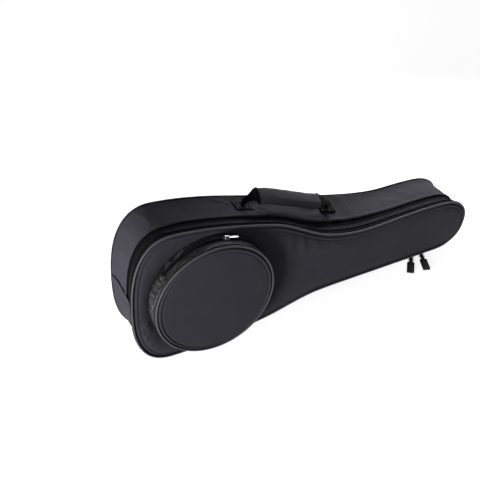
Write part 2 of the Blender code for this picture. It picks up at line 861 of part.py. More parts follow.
def dome(name, radius, rise, thickness, y, material):
    """A shallow turned dome, facing the front, with its rim at y."""
    steps = 3
    outer = [(radius * k / steps, rise * (1 - (k / steps) ** 2) + thickness) for k in range(steps + 1)]
    profile = outer + [(r, h - thickness) for r, h in reversed(outer)]
    mesh = bpy.data.meshes.new(name)
    edges = [(k, k + 1) for k in range(len(profile) - 1)]
    mesh.from_pydata([(r, 0, h) for r, h in profile], edges, [])
    obj = link(bpy.data.objects.new(name, mesh), BAG, material)
    turn = obj.modifiers.new("turn", "SCREW")
    turn.steps = turn.render_steps = RING_STEPS
    turn.use_merge_vertices = True
    turn.merge_threshold = 0.00001
    turn.use_smooth_shade = True
    obj.rotation_euler = (math.radians(90), 0, 0)
    obj.location = (POCKET_X, y, POCKET_Z)
    return obj


def pocket_ring(name, start, end, material):
    """The pocket's piping between two angles. Its ends are cut level with the fold of the flap."""
    centre_line = POCKET_RADIUS - POCKET_PIPING_RADIUS
    steps = max(2, round(RING_STEPS * (end - start) / (2 * math.pi)))
    angles = [start + (end - start) * k / steps for k in range(steps + 1)]
    points = [
        (POCKET_X + centre_line * math.cos(a), -POCKET_DEPTH, POCKET_Z + centre_line * math.sin(a)) for a in angles
    ]
    ring = tube(name, points, POCKET_PIPING_RADIUS, material, cyclic=False)
    bpy.context.view_layer.update()
    return meshed(ring)


def part_at_fold(obj, upper, joint):
    """Keeps the part of a pocket piece above the flap's fold or below it, and hangs it on its joint."""
    obj.parent = joint
    obj.location -= bag_place(joint)
    combine(obj, FOLD_CUTTERS[upper], "DIFFERENCE")
    return obj


def build_pocket():
    """The round pocket. Its wall is sewn round the base and zipped over the top, where its front folds."""
    zipped = (POCKET_ZIP_START + 0.004, POCKET_ZIP_END - 0.004)
    sewn = (POCKET_ZIP_END + 0.001, POCKET_ZIP_START + 2 * math.pi - 0.001)
    base = -(COVER_THICKNESS / 2 + LAYER_GAP)
    rim = -(POCKET_DEPTH - POCKET_PIPING_RADIUS - SEAM_GAP)
    y, radius, wall = POCKET_ZIP_Y, POCKET_RADIUS, POCKET_WALL
    inner, outer = ZIP_GAP / 2, ZIP_GAP / 2 + POCKET_COIL_WIDTH
    ring_wall("pocket_gusset", *sewn, base, rim, radius, wall, OXFORD, LID_HINGE)
    ring_wall("pocket_tape_base", *zipped, base, y + outer + SEAM_GAP, radius, wall, TAPE, LID_HINGE)
    ring_wall("pocket_coil_base", *zipped, y + outer, y + inner, radius, wall, COIL, LID_HINGE)
    ring_wall("pocket_coil_flap", *zipped, y - inner, y - outer, radius, wall, COIL, FLAP_HINGE)
    ring_wall("pocket_tape_flap", *zipped, y - outer - SEAM_GAP, rim, radius, wall, TAPE, FLAP_HINGE)
    front = radius - 2 * POCKET_PIPING_RADIUS - SEAM_GAP
    cover_y = -POCKET_DEPTH + wall / 2
    pad_y = cover_y + LAYER_GAP + POCKET_PAD_THICKNESS
    lining_y = pad_y + LAYER_GAP + LINING_THICKNESS
    layers = (
        ("front", wall, cover_y, OXFORD),
        ("pad", POCKET_PAD_THICKNESS, pad_y, FOAM),
        ("lining", LINING_THICKNESS, lining_y, LINING),
    )
    end = math.asin((FOLD_Z - POCKET_Z) / (radius - POCKET_PIPING_RADIUS))
    reach = 0.06
    arcs = {True: (end - reach, math.pi - end + reach), False: (math.pi - end - reach, 2 * math.pi + end + reach)}
    for upper, prefix, joint in ((False, "pocket", LID_HINGE), (True, "pocket_flap", FLAP_HINGE)):
        for layer, thickness, depth, material in layers:
            piece = dome(prefix + "_" + layer, front, POCKET_FRONT_CROWN, thickness, depth, material)
            part_at_fold(piece, upper, joint)
        part_at_fold(pocket_ring(prefix + "_piping", *arcs[upper], PIPING), upper, joint)


def build_pocket_slider():
    """The pocket's small slider, which travels round the pocket's centre, and its flat pull."""
    centre = joint_empty("pocket_slider_run", (POCKET_X, POCKET_ZIP_Y, POCKET_Z), FLAP_HINGE)
    outward = Vector((math.cos(POCKET_SLIDER_ANGLE), 0, math.sin(POCKET_SLIDER_ANGLE)))
    seat = Vector((POCKET_X, POCKET_ZIP_Y, POCKET_Z)) + POCKET_RADIUS * outward
    across = Vector((0, 1, 0))
    swing = joint_empty("pocket_slider_seat", seat, centre, (across.cross(outward), across, outward))
    blade = ZIP_GAP - 2 * SEAM_GAP
    inner_side = (-POCKET_SLIDER_WIDTH / 2, blade / 2)
    slider("pocket_slider", POCKET_SLIDER_LENGTH, POCKET_SLIDER_WIDTH, inner_side, 1, POCKET_WALL, blade, swing)
    bar = 0.0012
    thickness = 0.0010
    slot = CROWN_LENGTH / 2 + 2 * SEAM_GAP
    half = POCKET_PULL_WIDTH / 2
    tip = POCKET_PULL_LENGTH
    upper = [(-bar / 2, half)] + arc(tip - half, 0, half, 90, 0, 4)
    loop = upper + [(x, -y) for x, y in reversed(upper[:-1])]
    rail = CROWN_THICKNESS / 2 + 2 * SEAM_GAP
    hole = [(bar / 2, rail), (slot, rail), (slot, -rail), (bar / 2, -rail)]
    pull = link(flat_curve("pocket_pull", [loop, hole], thickness / 2), BAG, NICKEL)
    lift = SLIDER_RUNNING_GAP + SLIDER_PLATE + SEAM_GAP * 2 + thickness / 2
    pull_swing = bpy.data.objects.new("pocket_pull_swing", None)
    BAG.objects.link(pull_swing)
    pull_swing.parent = swing
    pull_swing.location = (0, 0, lift)
    pull.parent = pull_swing


def along_path(path, sections):
    """Loops of (across, up) points, set square to a path in the XZ plane of the handle's frame."""
    loops = []
    for k, (section, (x, z)) in enumerate(zip(sections, path)):
        before, after = Vector(path[max(k - 1, 0)]), Vector(path[min(k + 1, len(path) - 1)])
        slope = (after - before).normalized()
        loops.append([(x - up * slope.y, across, z + up * slope.x) for across, up in section])
    return loops


def sleeve(name, outsides, insides, material):
    """A solid with a hole along it, through loops of outer and inner points."""
    work = bmesh.new()
    outer = [[work.verts.new(p) for p in loop] for loop in outsides]
    inner = [[work.verts.new(p) for p in loop] for loop in insides]
    pairs = list(zip(outer, outer[1:])) + list(zip(inner, inner[1:]))
    pairs += [(outer[0], inner[0]), (outer[-1], inner[-1])]
    for a, b in pairs:
        for k in range(len(a)):
            n = (k + 1) % len(a)
            work.faces.new((a[k], a[n], b[n], b[k]))
    return finished(name, work, material)


def oval(width, thickness, squareness, count=16):
    """A rounded loop, from an ellipse at 2 towards a rectangle."""
    points = []
    for k in range(count):
        a = 2 * math.pi * (k + 0.5) / count
        c, s = math.cos(a), math.sin(a)
        power = 2.0 / squareness
        points.append(
            (
                0.5 * width * math.copysign(abs(c) ** power, c),
                0.5 * thickness * math.copysign(abs(s) ** power, s),
            )
        )
    return points


def build_handle():
    """The carry handle: a webbing strap on two sewn patches, with a padded wrap round its middle."""
    ends, patches = [], []
    for name, x in (("tail_handle_patch", HANDLE_TAIL_X), ("head_handle_patch", HANDLE_HEAD_X)):
        s = OUTLINE.length_at_upper(x)
        seat = wall_point(s, HANDLE_Y, WALL_INSET)
        axes = wall_axes(s, HANDLE_Y)
        ends.append(seat + HANDLE_AXIS_HEIGHT * axes[2])
        patch = side_wall(
            name,
            s - PATCH_LENGTH / 2,
            s + PATCH_LENGTH / 2,
            HANDLE_Y - STRAP_WIDTH / 2,
            HANDLE_Y + STRAP_WIDTH / 2,
            WALL_INSET - PATCH_LIFT - PATCH_THICKNESS,
            PATCH_THICKNESS,
            WEBBING,
            BAG_POSE,
        )
        stem = box(
            name + "_stem",
            (-FOLD_LENGTH / 2, -FOLD_RADIUS * 0.7, PATCH_LIFT + PATCH_THICKNESS / 2),
            (FOLD_LENGTH / 2, FOLD_RADIUS * 0.7, HANDLE_AXIS_HEIGHT),
            TOOLS,
        )
        stem.parent = joint_empty(name + "_seat", seat, BAG_POSE, axes)
        combine(patch, stem, "UNION")
        patches.append(patch)
    tail, head = ends
    along = (head - tail).normalized()
    up = along.cross(Vector((0, 1, 0))).normalized()
    across = up.cross(along)
    lean = Matrix.Rotation(HANDLE_LEAN, 3, along)
    hinge = joint_empty("handle_hinge", tail, BAG_POSE, (along, lean @ across, lean @ up))
    span = (head - tail).length
    wrap_end = WRAP_START + WRAP_LENGTH
    for patch, u in zip(patches, (0.0, span)):
        fold = rod(patch.name + "_fold", FOLD_RADIUS, FOLD_LENGTH, "Y")
        fold.parent = hinge
        fold.location = (u, 0, 0)
        combine(patch, fold, "UNION")
    base = FOLD_RADIUS + SEAM_GAP + STRAP_THICKNESS / 2

    def height(u):
        if u < WRAP_START:
            return base + (HANDLE_RISE - base) * math.sin(0.5 * math.pi * u / WRAP_START)
        if u > wrap_end:
            return base + (HANDLE_DROP - base) * math.sin(0.5 * math.pi * (span - u) / (span - wrap_end))
        share = (u - WRAP_START) / WRAP_LENGTH
        return HANDLE_RISE + (HANDLE_DROP - HANDLE_RISE) * smoothstep(share)

    def width(u):
        from_end = min(u / WRAP_START, (span - u) / (span - wrap_end), 1.0)
        return STRAP_END_WIDTH + (STRAP_WIDTH - STRAP_END_WIDTH) * smoothstep(from_end * 1.1)

    steps = 24
    stations = [span * k / steps for k in range(steps + 1)]
    path = [(u, height(u)) for u in stations]
    half = FOLD_LENGTH / 2
    path = [(-half, base)] + path + [(span + half, base)]
    sections = [oval(width(u), STRAP_THICKNESS, 6, 8) for u, _ in path]
    strap = loft("handle_strap", along_path(path, sections), WEBBING)
    strap.parent = hinge
    inside = [WRAP_START + WRAP_LENGTH * k / 12 for k in range(13)]
    wrap_path = [(u, height(u)) for u in inside]
    slot_width = STRAP_WIDTH + 2 * WRAP_SLOT_CLEARANCE
    slot_height = STRAP_THICKNESS + 2 * WRAP_SLOT_CLEARANCE
    wraps = [oval(WRAP_WIDTH, WRAP_THICKNESS, 2.6) for _ in inside]
    slots = [oval(slot_width, slot_height, 6) for _ in inside]
    wrap = sleeve("handle_wrap", along_path(wrap_path, wraps), along_path(wrap_path, slots), OXFORD)
    wrap.parent = hinge


build_back()
build_lid()
build_main_zip()
build_pocket()
build_pocket_slider()
build_handle()
build_main_slider("tail", TAIL_SLIDER_X, -1, TAIL_PULL_YAW)
build_main_slider("head", HEAD_SLIDER_X, 1, HEAD_PULL_YAW)
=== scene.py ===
"""The looks of a padded ukulele gig bag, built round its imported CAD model.

Every piece is drawn in the bag's own frame, as the CAD is: x from the tail of the bout to the tip
of the head, y from the front piping to the back one, and z across the width, handle side up. One
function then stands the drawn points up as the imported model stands. All sizes are in metres.
"""

import json
import math

import bmesh
import bpy
import numpy as np
from mathutils import Matrix, Vector, noise


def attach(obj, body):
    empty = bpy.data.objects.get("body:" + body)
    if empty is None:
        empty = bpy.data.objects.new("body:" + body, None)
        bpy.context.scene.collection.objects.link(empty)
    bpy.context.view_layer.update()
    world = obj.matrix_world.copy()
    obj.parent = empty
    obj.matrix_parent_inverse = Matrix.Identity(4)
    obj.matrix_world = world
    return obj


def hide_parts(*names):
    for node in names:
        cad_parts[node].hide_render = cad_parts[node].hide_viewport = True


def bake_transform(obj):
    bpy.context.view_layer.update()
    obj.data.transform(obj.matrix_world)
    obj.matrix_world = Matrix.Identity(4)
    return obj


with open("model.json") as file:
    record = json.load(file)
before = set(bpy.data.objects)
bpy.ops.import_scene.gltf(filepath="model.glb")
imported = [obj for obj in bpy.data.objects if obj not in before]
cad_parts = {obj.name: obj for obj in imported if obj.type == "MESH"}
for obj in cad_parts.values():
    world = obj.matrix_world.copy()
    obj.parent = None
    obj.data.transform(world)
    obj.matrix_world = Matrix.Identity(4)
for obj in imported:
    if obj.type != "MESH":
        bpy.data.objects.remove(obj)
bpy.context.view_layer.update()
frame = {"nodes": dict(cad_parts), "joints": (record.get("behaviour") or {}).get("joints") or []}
JOINTS = {joint["name"]: joint for joint in frame["joints"]}

# Outline of the front and back panels
BAG_LENGTH = 0.661
BOUT_HALF_WIDTH = 0.120
BOUT_X = 0.070
SHOULDER_HALF_WIDTH = 0.097
SHOULDER_X = 0.235
NECK_HALF_WIDTH = 0.052
NECK_START_X = 0.342
NECK_X = 0.440
HEAD_HALF_WIDTH = 0.0545
HEAD_ROUND_LENGTH = 0.071
TAIL_SQUARENESS = 2.5
HEAD_SQUARENESS = 2.3
NECK_SAG = 0.010
SAG_X = 0.385
SAG_REACH = 0.150
HEAD_LIFT = 0.004
STRAIGHT_START_X = 0.370
STRAIGHT_END_X = 0.600

# Walls
BAG_DEPTH = 0.090
COVER_THICKNESS = 0.0012
FOAM_THICKNESS = 0.005
LINING_THICKNESS = 0.0006
LAYER_GAP = 0.0004
SEAM_GAP = 0.0003
WALL_INSET = 0.0004
GUSSET_SINK = 0.0050
WAIST_LIFT = 0.0225
WAIST_X = 0.370
WAIST_REACH = 0.160
WAIST_START_Y = 0.018
STAND_FADE = 0.120
PIPING_RADIUS = 0.0025

# Main zip
ZIP_LINE_Y = 0.015
ZIP_GAP = 0.0016
COIL_WIDTH = 0.0026
BACK_TAPE_WIDTH = 0.0112
ZIP_CLOTH = 0.0007
ZIP_END_X = 0.285
SLIDER_LENGTH = 0.014
SLIDER_WIDTH = 0.011
SLIDER_PLATE = 0.0012
SLIDER_RUNNING_GAP = 0.0005
TAIL_SLIDER_X = 0.5590
HEAD_SLIDER_X = 0.5780
GRIP_WIDTH = 0.0135
GRIP_THICKNESS = 0.0026

# Round pocket on the front
POCKET_X = 0.126
POCKET_Z = 0.002
POCKET_RADIUS = 0.100
POCKET_DEPTH = 0.030
POCKET_PIPING_RADIUS = 0.0022
POCKET_ZIP_Y = -0.013
POCKET_ZIP_START = math.radians(38)
POCKET_ZIP_END = math.radians(142)
POCKET_COIL_WIDTH = 0.0020
POCKET_CROWN = 0.003
POCKET_SLIDER_ANGLE = math.radians(80)
POCKET_SLIDER_LENGTH = 0.010
POCKET_SLIDER_WIDTH = 0.008

# Carry handle
HANDLE_TAIL_X = 0.210
HANDLE_HEAD_X = 0.3725
HANDLE_Y = 0.062
STRAP_WIDTH = 0.025
STRAP_END_WIDTH = 0.010
STRAP_THICKNESS = 0.0022
STRAP_SQUARENESS = 5
HANDLE_AXIS_HEIGHT = 0.0072
FOLD_RADIUS = 0.0020
FOLD_LENGTH = 0.0060
HANDLE_RISE = 0.0205
HANDLE_DROP = 0.0100
WRAP_LENGTH = 0.1285
WRAP_START = 0.0155
WRAP_WIDTH = 0.0275
WRAP_THICKNESS = 0.013
HANDLE_LEAN = math.radians(25)
PATCH_LENGTH = 0.032
PATCH_THICKNESS = 0.0016
PATCH_LIFT = 0.0007

# The lens and place of the photograph's camera
IMAGE_SIDE = 480
FOCAL_PIXELS = 661.0
IMAGE_CENTRE = (264.0, 255.0)
CAMERA_AZIMUTH = math.radians(-27.711)
CAMERA_ELEVATION = math.radians(39.906)
CAMERA_ROLL = math.radians(-1.821)
CAMERA_TARGET = Vector((0.1247, 0.0, 0.1000))
CAMERA_DISTANCE = 1.1080


# The bag's outline and walls, as in the CAD


def smoothstep(t):
    t = np.clip(t, 0.0, 1.0)
    return t * t * (3.0 - 2.0 * t)


def ridge(away, width, height, at=0.0):
    """A soft ridge, or a groove where the height is negative, at a distance from a line."""
    return height * np.exp(-(((away - at) / width) ** 2))


def half_width(x):
    """Half the bag's width at x: a squarish tail, a smooth flank and a round head."""
    head_x = BAG_LENGTH - HEAD_ROUND_LENGTH
    if x <= BOUT_X:
        share = (BOUT_X - x) / BOUT_X
        return BOUT_HALF_WIDTH * max(1.0 - share**TAIL_SQUARENESS, 0.0) ** (1.0 / TAIL_SQUARENESS)
    if x >= head_x:
        share = min((x - head_x) / HEAD_ROUND_LENGTH, 1.0)
        return HEAD_HALF_WIDTH * max(1.0 - share**HEAD_SQUARENESS, 0.0) ** (1.0 / HEAD_SQUARENESS)
    shoulder_slope = (BOUT_HALF_WIDTH - SHOULDER_HALF_WIDTH) / (BOUT_X - SHOULDER_X)
    stations = [
        (BOUT_X, BOUT_HALF_WIDTH, 0.0),
        (SHOULDER_X, SHOULDER_HALF_WIDTH, 1.55 * shoulder_slope),
        (NECK_START_X, NECK_HALF_WIDTH + 0.0085, -0.19),
        (NECK_X, NECK_HALF_WIDTH, 0.0),
        (head_x, HEAD_HALF_WIDTH, 0.0),
    ]
    for (x0, w0, m0), (x1, w1, m1) in zip(stations, stations[1:]):
        if x <= x1:
            span = x1 - x0
            t = (x - x0) / span
            rise = w0 * (2 * t**3 - 3 * t**2 + 1) + w1 * (3 * t**2 - 2 * t**3)
            return rise + span * (m0 * (t**3 - 2 * t**2 + t) + m1 * (t**3 - t**2))
    return HEAD_HALF_WIDTH


def centre_height(x):
    """The centre line: the neck has sagged a little between the bout and the head."""
    away = (x - SAG_X) / SAG_REACH
    sag = NECK_SAG * 0.5 * (1.0 + math.cos(math.pi * away)) if abs(away) < 1.0 else 0.0
    lift_start = SAG_X + 0.6 * SAG_REACH
    lift_end = BAG_LENGTH - HEAD_ROUND_LENGTH
    return HEAD_LIFT * float(smoothstep((x - lift_start) / (lift_end - lift_start))) - sag


def outline_points(count=480):
    """The closed outline from the middle of the tail, over the top, round the head and back below."""
    upper, lower = [], []
    low = {x: centre_height(x) - half_width(x) for x in (STRAIGHT_START_X, STRAIGHT_END_X)}
    for k in range(count + 1):
        x = BAG_LENGTH * 0.5 * (1.0 - math.cos(math.pi * k / count))
        middle, half = centre_height(x), half_width(x)
        upper.append((x, middle + half))
        bottom = middle - half
        if STRAIGHT_START_X < x < STRAIGHT_END_X:
            share = (x - STRAIGHT_START_X) / (STRAIGHT_END_X - STRAIGHT_START_X)
            bottom = low[STRAIGHT_START_X] * (1.0 - share) + low[STRAIGHT_END_X] * share
        lower.append((x, bottom))
    return np.array(upper + lower[::-1][1:]), count


OUTLINE, TOP_COUNT = outline_points()
OUTLINE_LENGTHS = np.concatenate([[0.0], np.cumsum(np.linalg.norm(np.diff(OUTLINE, axis=0), axis=1))])
OUTLINE_TOTAL = OUTLINE_LENGTHS[-1]


def outline_point(s):
    s = np.mod(s, OUTLINE_TOTAL)
    return np.stack([np.interp(s, OUTLINE_LENGTHS, OUTLINE[:, k]) for k in (0, 1)], axis=-1)


def outline_inward(s):
    """The unit normal that points into the bag."""
    reach = 0.006
    along = outline_point(s + reach) - outline_point(s - reach)
    along /= np.linalg.norm(along, axis=-1, keepdims=True)
    return np.stack([along[..., 1], -along[..., 0]], axis=-1)


def length_at_upper(x):
    return float(np.interp(x, OUTLINE[: TOP_COUNT + 1, 0], OUTLINE_LENGTHS[: TOP_COUNT + 1]))


def length_at_lower(x):
    return float(np.interp(x, OUTLINE[TOP_COUNT:, 0][::-1], OUTLINE_LENGTHS[TOP_COUNT:][::-1]))


def bag_frame():
    """The turn and the place of the bag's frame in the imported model, from its joints."""
    axis = JOINTS["lid_hinge"]["axis"]
    pitch = math.atan2(-axis[2], axis[0])
    turn = Matrix.Rotation(pitch, 4, "Y")
    pocket_centre = Vector((POCKET_X, POCKET_ZIP_Y, POCKET_Z))
    place = Vector(JOINTS["pocket_slider_run"]["pos_m"]) - turn.to_3x3() @ pocket_centre
    return Matrix.Translation(place) @ turn


BAG_TO_ROW = bag_frame()
TURN = np.array(BAG_TO_ROW.to_3x3())
PLACE = np.array(BAG_TO_ROW.translation)
ZIP_END = length_at_lower(ZIP_END_X)
LOWER_BOUT = OUTLINE[(OUTLINE[:, 0] < SHOULDER_X) & (OUTLINE[:, 1] < 0)]
CONTACT_X = LOWER_BOUT[np.argmin(LOWER_BOUT @ TURN[2, [0, 2]])][0]
CONTACT = length_at_lower(CONTACT_X)
WAIST = length_at_upper(WAIST_X)


def waist(s):
    """How near the outline is to the waist: 1 in the middle of it and 0 outside its reach."""
    away = np.clip((s - WAIST) / WAIST_REACH, -1.0, 1.0)
    return 0.5 * (1.0 + np.cos(math.pi * away))


def lift(s, y):
    """How far the handle has drawn the waist out of the outline. It grows evenly towards the back."""
    return WAIST_LIFT * waist(s) * np.maximum(y - WAIST_START_Y, 0.0) / (BAG_DEPTH - WAIST_START_Y)


def sink(s, y):
    """How far the side wall is drawn in between its pipings: not where it stands or is lifted."""
    across = 1.0 - (2.0 * y / BAG_DEPTH - 1.0) ** 4
    return GUSSET_SINK * across * smoothstep(np.abs(s - CONTACT) / STAND_FADE) * (1.0 - waist(s))


def at_depth(flat, y):
    """Points from their (x, z) in the plane of the panels and their y."""
    return np.stack([flat[..., 0], y, flat[..., 1]], axis=-1)


def wall_point(s, y, inset):
    """Points on the side wall, in the bag's frame, inset from the outline."""
    s, y, inset = np.broadcast_arrays(s, y, inset)
    flat = outline_point(s) + (inset + sink(s, y) - lift(s, y))[..., None] * outline_inward(s)
    return at_depth(flat, y)


def unit(vectors):
    return vectors / np.linalg.norm(vectors, axis=-1, keepdims=True)


def wall_axes(s, y):
    """The axes of fittings on the side wall: along it, across it towards the back, and out of the bag."""
    s, y = np.broadcast_arrays(np.asarray(s, float), np.asarray(y, float))
    reach = 0.002
    along = unit(wall_point(s + reach, y, 0.0) - wall_point(s - reach, y, 0.0))
    across = wall_point(s, y + reach, 0.0) - wall_point(s, y - reach, 0.0)
    across = unit(across - np.sum(across * along, axis=-1, keepdims=True) * along)
    return along, across, np.cross(along, across)


def in_row(points):
    """Points of the bag's frame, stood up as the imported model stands, never below the floor."""
    made = np.asarray(points, float) @ TURN.T + PLACE
    made[..., 2] = np.maximum(made[..., 2], 0.0002)
    return made


BAG_MIDDLE = in_row(np.array([0.25, BAG_DEPTH / 2, 0.0]))


# Colours, nodes and materials


def colour(code):
    """A colour written as the eye sees it, turned into the linear one that the shaders take."""
    parts = [int(code[k : k + 2], 16) / 255 for k in (1, 3, 5)]
    return (*[c / 12.92 if c <= 0.04045 else ((c + 0.055) / 1.055) ** 2.4 for c in parts], 1.0)


def add(tree, kind, links=None, **settings):
    """Adds a node. Its settings are its own, and links gives each input a value or a socket."""
    node = tree.nodes.new(kind)
    for name, value in settings.items():
        setattr(node, name, value)
    for name, value in (links or {}).items():
        if isinstance(value, bpy.types.NodeSocket):
            tree.links.new(value, node.inputs[name])
        else:
            node.inputs[name].default_value = value
    return node


def new_material(name):
    """An empty material with its output, and its node tree."""
    made = bpy.data.materials.new(name)
    made.use_nodes = True
    made.node_tree.nodes.clear()
    return made, made.node_tree


def maths(tree, operation, first, second=0.5):
    return add(tree, "ShaderNodeMath", {0: first, 1: second}, operation=operation).outputs[0]


def surface(tree, **inputs):
    """The shader and the material's output."""
    named = {name.replace("_", " "): value for name, value in inputs.items()}
    shader = add(tree, "ShaderNodeBsdfPrincipled", named)
    add(tree, "ShaderNodeOutputMaterial", {"Surface": shader.outputs[0]})
    return shader


def plain_weave(tree, pitch):
    """The height of a plain weave, 0 to 1, over the piece's own map in metres."""
    place = add(tree, "ShaderNodeUVMap", uv_map="cloth").outputs[0]
    split = add(tree, "ShaderNodeSeparateXYZ", {0: place})
    waves = []
    for axis in ("X", "Y"):
        turns = maths(tree, "MULTIPLY", split.outputs[axis], math.pi / pitch)
        waves.append(maths(tree, "ABSOLUTE", maths(tree, "SINE", turns)))
    checks = add(tree, "ShaderNodeTexChecker", {"Vector": place, "Scale": 1.0 / pitch})
    links = {"Factor": checks.outputs["Fac"], 2: waves[0], 3: waves[1]}
    return add(tree, "ShaderNodeMix", links).outputs[0]


def mottle(tree, scale, detail=3.0):
    """Soft blotches, over the place in metres."""
    place = add(tree, "ShaderNodeTexCoord").outputs["Object"]
    links = {"Vector": place, "Scale": scale, "Detail": detail}
    return add(tree, "ShaderNodeTexNoise", links).outputs["Fac"]


def between(tree, factor, low, high):
    """A colour between two, by a factor."""
    links = {"Factor": factor, 6: colour(low), 7: colour(high)}
    return add(tree, "ShaderNodeMix", links, data_type="RGBA").outputs[2]


def ranged(tree, factor, low, high):
    return add(tree, "ShaderNodeMapRange", {"Value": factor, "To Min": low, "To Max": high}).outputs[0]


def bump(tree, height, distance, strength=1.0, before=None):
    links = {"Height": height, "Distance": distance, "Strength": strength}
    if before is not None:
        links["Normal"] = before
    return add(tree, "ShaderNodeBump", links).outputs[0]


def oxford_cloth(name, dark, light, roughness, pitch=0.0011, shine=0.02):
    """Woven polyester: a matt plain weave, blotchy where its coated back pulls the threads.

    A 600 denier thread is 0.35 mm wide. The weave is drawn three times as coarse, so that it shows.
    """
    made, tree = new_material(name)
    weave = plain_weave(tree, pitch)
    blotches = mottle(tree, 38.0)
    rubbed = mottle(tree, 9.0, 2.0)
    tone = maths(tree, "ADD", maths(tree, "MULTIPLY", weave, 0.3), maths(tree, "MULTIPLY", blotches, 0.35))
    tone = maths(tree, "ADD", tone, maths(tree, "MULTIPLY", rubbed, 0.35))
    creases = bump(tree, mottle(tree, 110.0, 4.0), 0.0008, 0.35)
    surface(
        tree,
        Base_Color=between(tree, tone, dark, light),
        Roughness=ranged(tree, blotches, roughness - 0.08, roughness + 0.08),
        Normal=bump(tree, weave, 0.00020, 0.7, creases),
        Specular_IOR_Level=shine,
        Sheen_Weight=0.02,
        Sheen_Roughness=0.5,
    )
    return made


def ribbed_cloth(name, dark, light, roughness, pitch, ribs=0.00035, shine=0.06):
    """A narrow woven band: ribs across it, with finer threads along them."""
    made, tree = new_material(name)
    place = add(tree, "ShaderNodeUVMap", uv_map="cloth").outputs[0]
    split = add(tree, "ShaderNodeSeparateXYZ", {0: place})
    turns = maths(tree, "MULTIPLY", split.outputs["X"], math.pi / pitch)
    fine = maths(tree, "MULTIPLY", split.outputs["Y"], math.pi / (pitch * 0.8))
    rib = maths(tree, "ABSOLUTE", maths(tree, "SINE", turns))
    thread = maths(tree, "ABSOLUTE", maths(tree, "SINE", fine))
    height = maths(tree, "ADD", rib, maths(tree, "MULTIPLY", thread, 0.5))
    tone = maths(tree, "MULTIPLY", height, 0.66)
    surface(
        tree,
        Base_Color=between(tree, tone, dark, light),
        Roughness=ranged(tree, mottle(tree, 300.0), roughness - 0.06, roughness + 0.06),
        Normal=bump(tree, height, ribs, 0.9),
        Specular_IOR_Level=shine,
    )
    return made


def spun_thread(name, dark, light):
    """Spun polyester sewing thread: two plies twisted together, a little glossier than the cloth."""
    made, tree = new_material(name)
    place = add(tree, "ShaderNodeTexCoord").outputs["Object"]
    plies = add(
        tree,
        "ShaderNodeTexWave",
        {"Vector": place, "Scale": 260.0, "Distortion": 1.5, "Detail": 1.0},
        bands_direction="DIAGONAL",
    ).outputs["Fac"]
    surface(
        tree,
        Base_Color=between(tree, plies, dark, light),
        Roughness=ranged(tree, mottle(tree, 500.0), 0.42, 0.55),
        Normal=bump(tree, plies, 0.0001, 0.6),
        Specular_IOR_Level=0.4,
    )
    return made


def hard_finish(name, dark, light, rough, scales, relief, strength, detail=3.0, **more):
    """A hard surface: a colour in blotches, worn places and a fine relief, at three noise scales."""
    made, tree = new_material(name)
    blotch, worn, grain = scales
    surface(
        tree,
        Base_Color=between(tree, mottle(tree, blotch), dark, light),
        Roughness=ranged(tree, mottle(tree, worn, detail), *rough),
        Normal=bump(tree, mottle(tree, grain, detail), relief, strength),
        **more,
    )
    return made


def moulded(name, dark, light, roughness, shine):
    """Moulded soft PVC or nylon: near black, with the fine satin grain of its mould."""
    rough = (roughness - 0.08, roughness + 0.08)
    scales = (90.0, 1400.0, 1400.0)
    return hard_finish(name, dark, light, rough, scales, 0.00008, 0.6, 2.0, Specular_IOR_Level=shine)


# Covers and wrap: matt 600 denier polyester, charcoal with a cold cast and little light on its threads
OXFORD = oxford_cloth("oxford_cover", "#29282d", "#3a3940", 0.72)
# The wrap's copy of the cover cloth is painted lighter: painted light for the light that falls on its
# plump top
LIT_WRAP_CLOTH = oxford_cloth("handle_cloth_painted_lit", "#302f34", "#454449", 0.72, shine=0.06)
# Piping: the same cloth cut on the bias and pulled tight over a cord, so it shines more; its colour is
# also painted lighter than the cover's, a painted highlight along the cord
PIPING = oxford_cloth("bias_piping_painted_highlight", "#38373d", "#4e4d54", 0.6, 0.0009, shine=0.15)
# The pocket's wall: thin coated cloth, its dark colour painted near black as painted shade on the pocket's
# deep wall, with bright creases from its shine
SHADED_POCKET_CLOTH = oxford_cloth("pocket_wall_cloth_painted_shade", "#0b0b0e", "#1a191e", 0.38, shine=0.28)
# Lining: smooth close nylon with a soft shine
LINING = oxford_cloth("nylon_lining", "#222226", "#313136", 0.5, 0.0008, shine=0.4)
# Bands: dull black ribbed tape, the pocket's glossier one, seam binding, and coarse webbing
TAPE = ribbed_cloth("zip_tape", "#08080a", "#131317", 0.85, 0.0009, shine=0.02)
POCKET_TAPE = ribbed_cloth("pocket_zip_tape", "#0b0b0e", "#1a191e", 0.42, 0.0009, shine=0.2)
# The binding's near black is its own colour on the bound seams and the wrap's ends, and painted shade
# where it makes the pipings' flanges and the pocket's foot seam
BINDING_AND_SEAM_SHADE = ribbed_cloth("seam_binding_and_painted_seam_shade", "#0b0b0d", "#17171a", 0.75, 0.0010)
WEBBING = ribbed_cloth("polypropylene_webbing", "#050506", "#0f0f12", 0.7, 0.0013, 0.0005, shine=0.02)
THREAD = spun_thread("sewing_thread", "#0c0c0e", "#1a1a1d")
# The coils are duller than the pulls, because their turns hide most of the light from each other
COIL = moulded("nylon_coil", "#08080a", "#151518", 0.75, 0.05)
GRIP = moulded("moulded_pull", "#09090b", "#151518", 0.42, 0.5)
# Plated zinc: a bright metal with a faint cloudiness and hairline rubbing
NICKEL = hard_finish(
    "nickel_plate", "#4c4d51", "#77787d", (0.24, 0.40), (220.0, 900.0, 1500.0), 0.00005, 0.35, Metallic=1.0
)
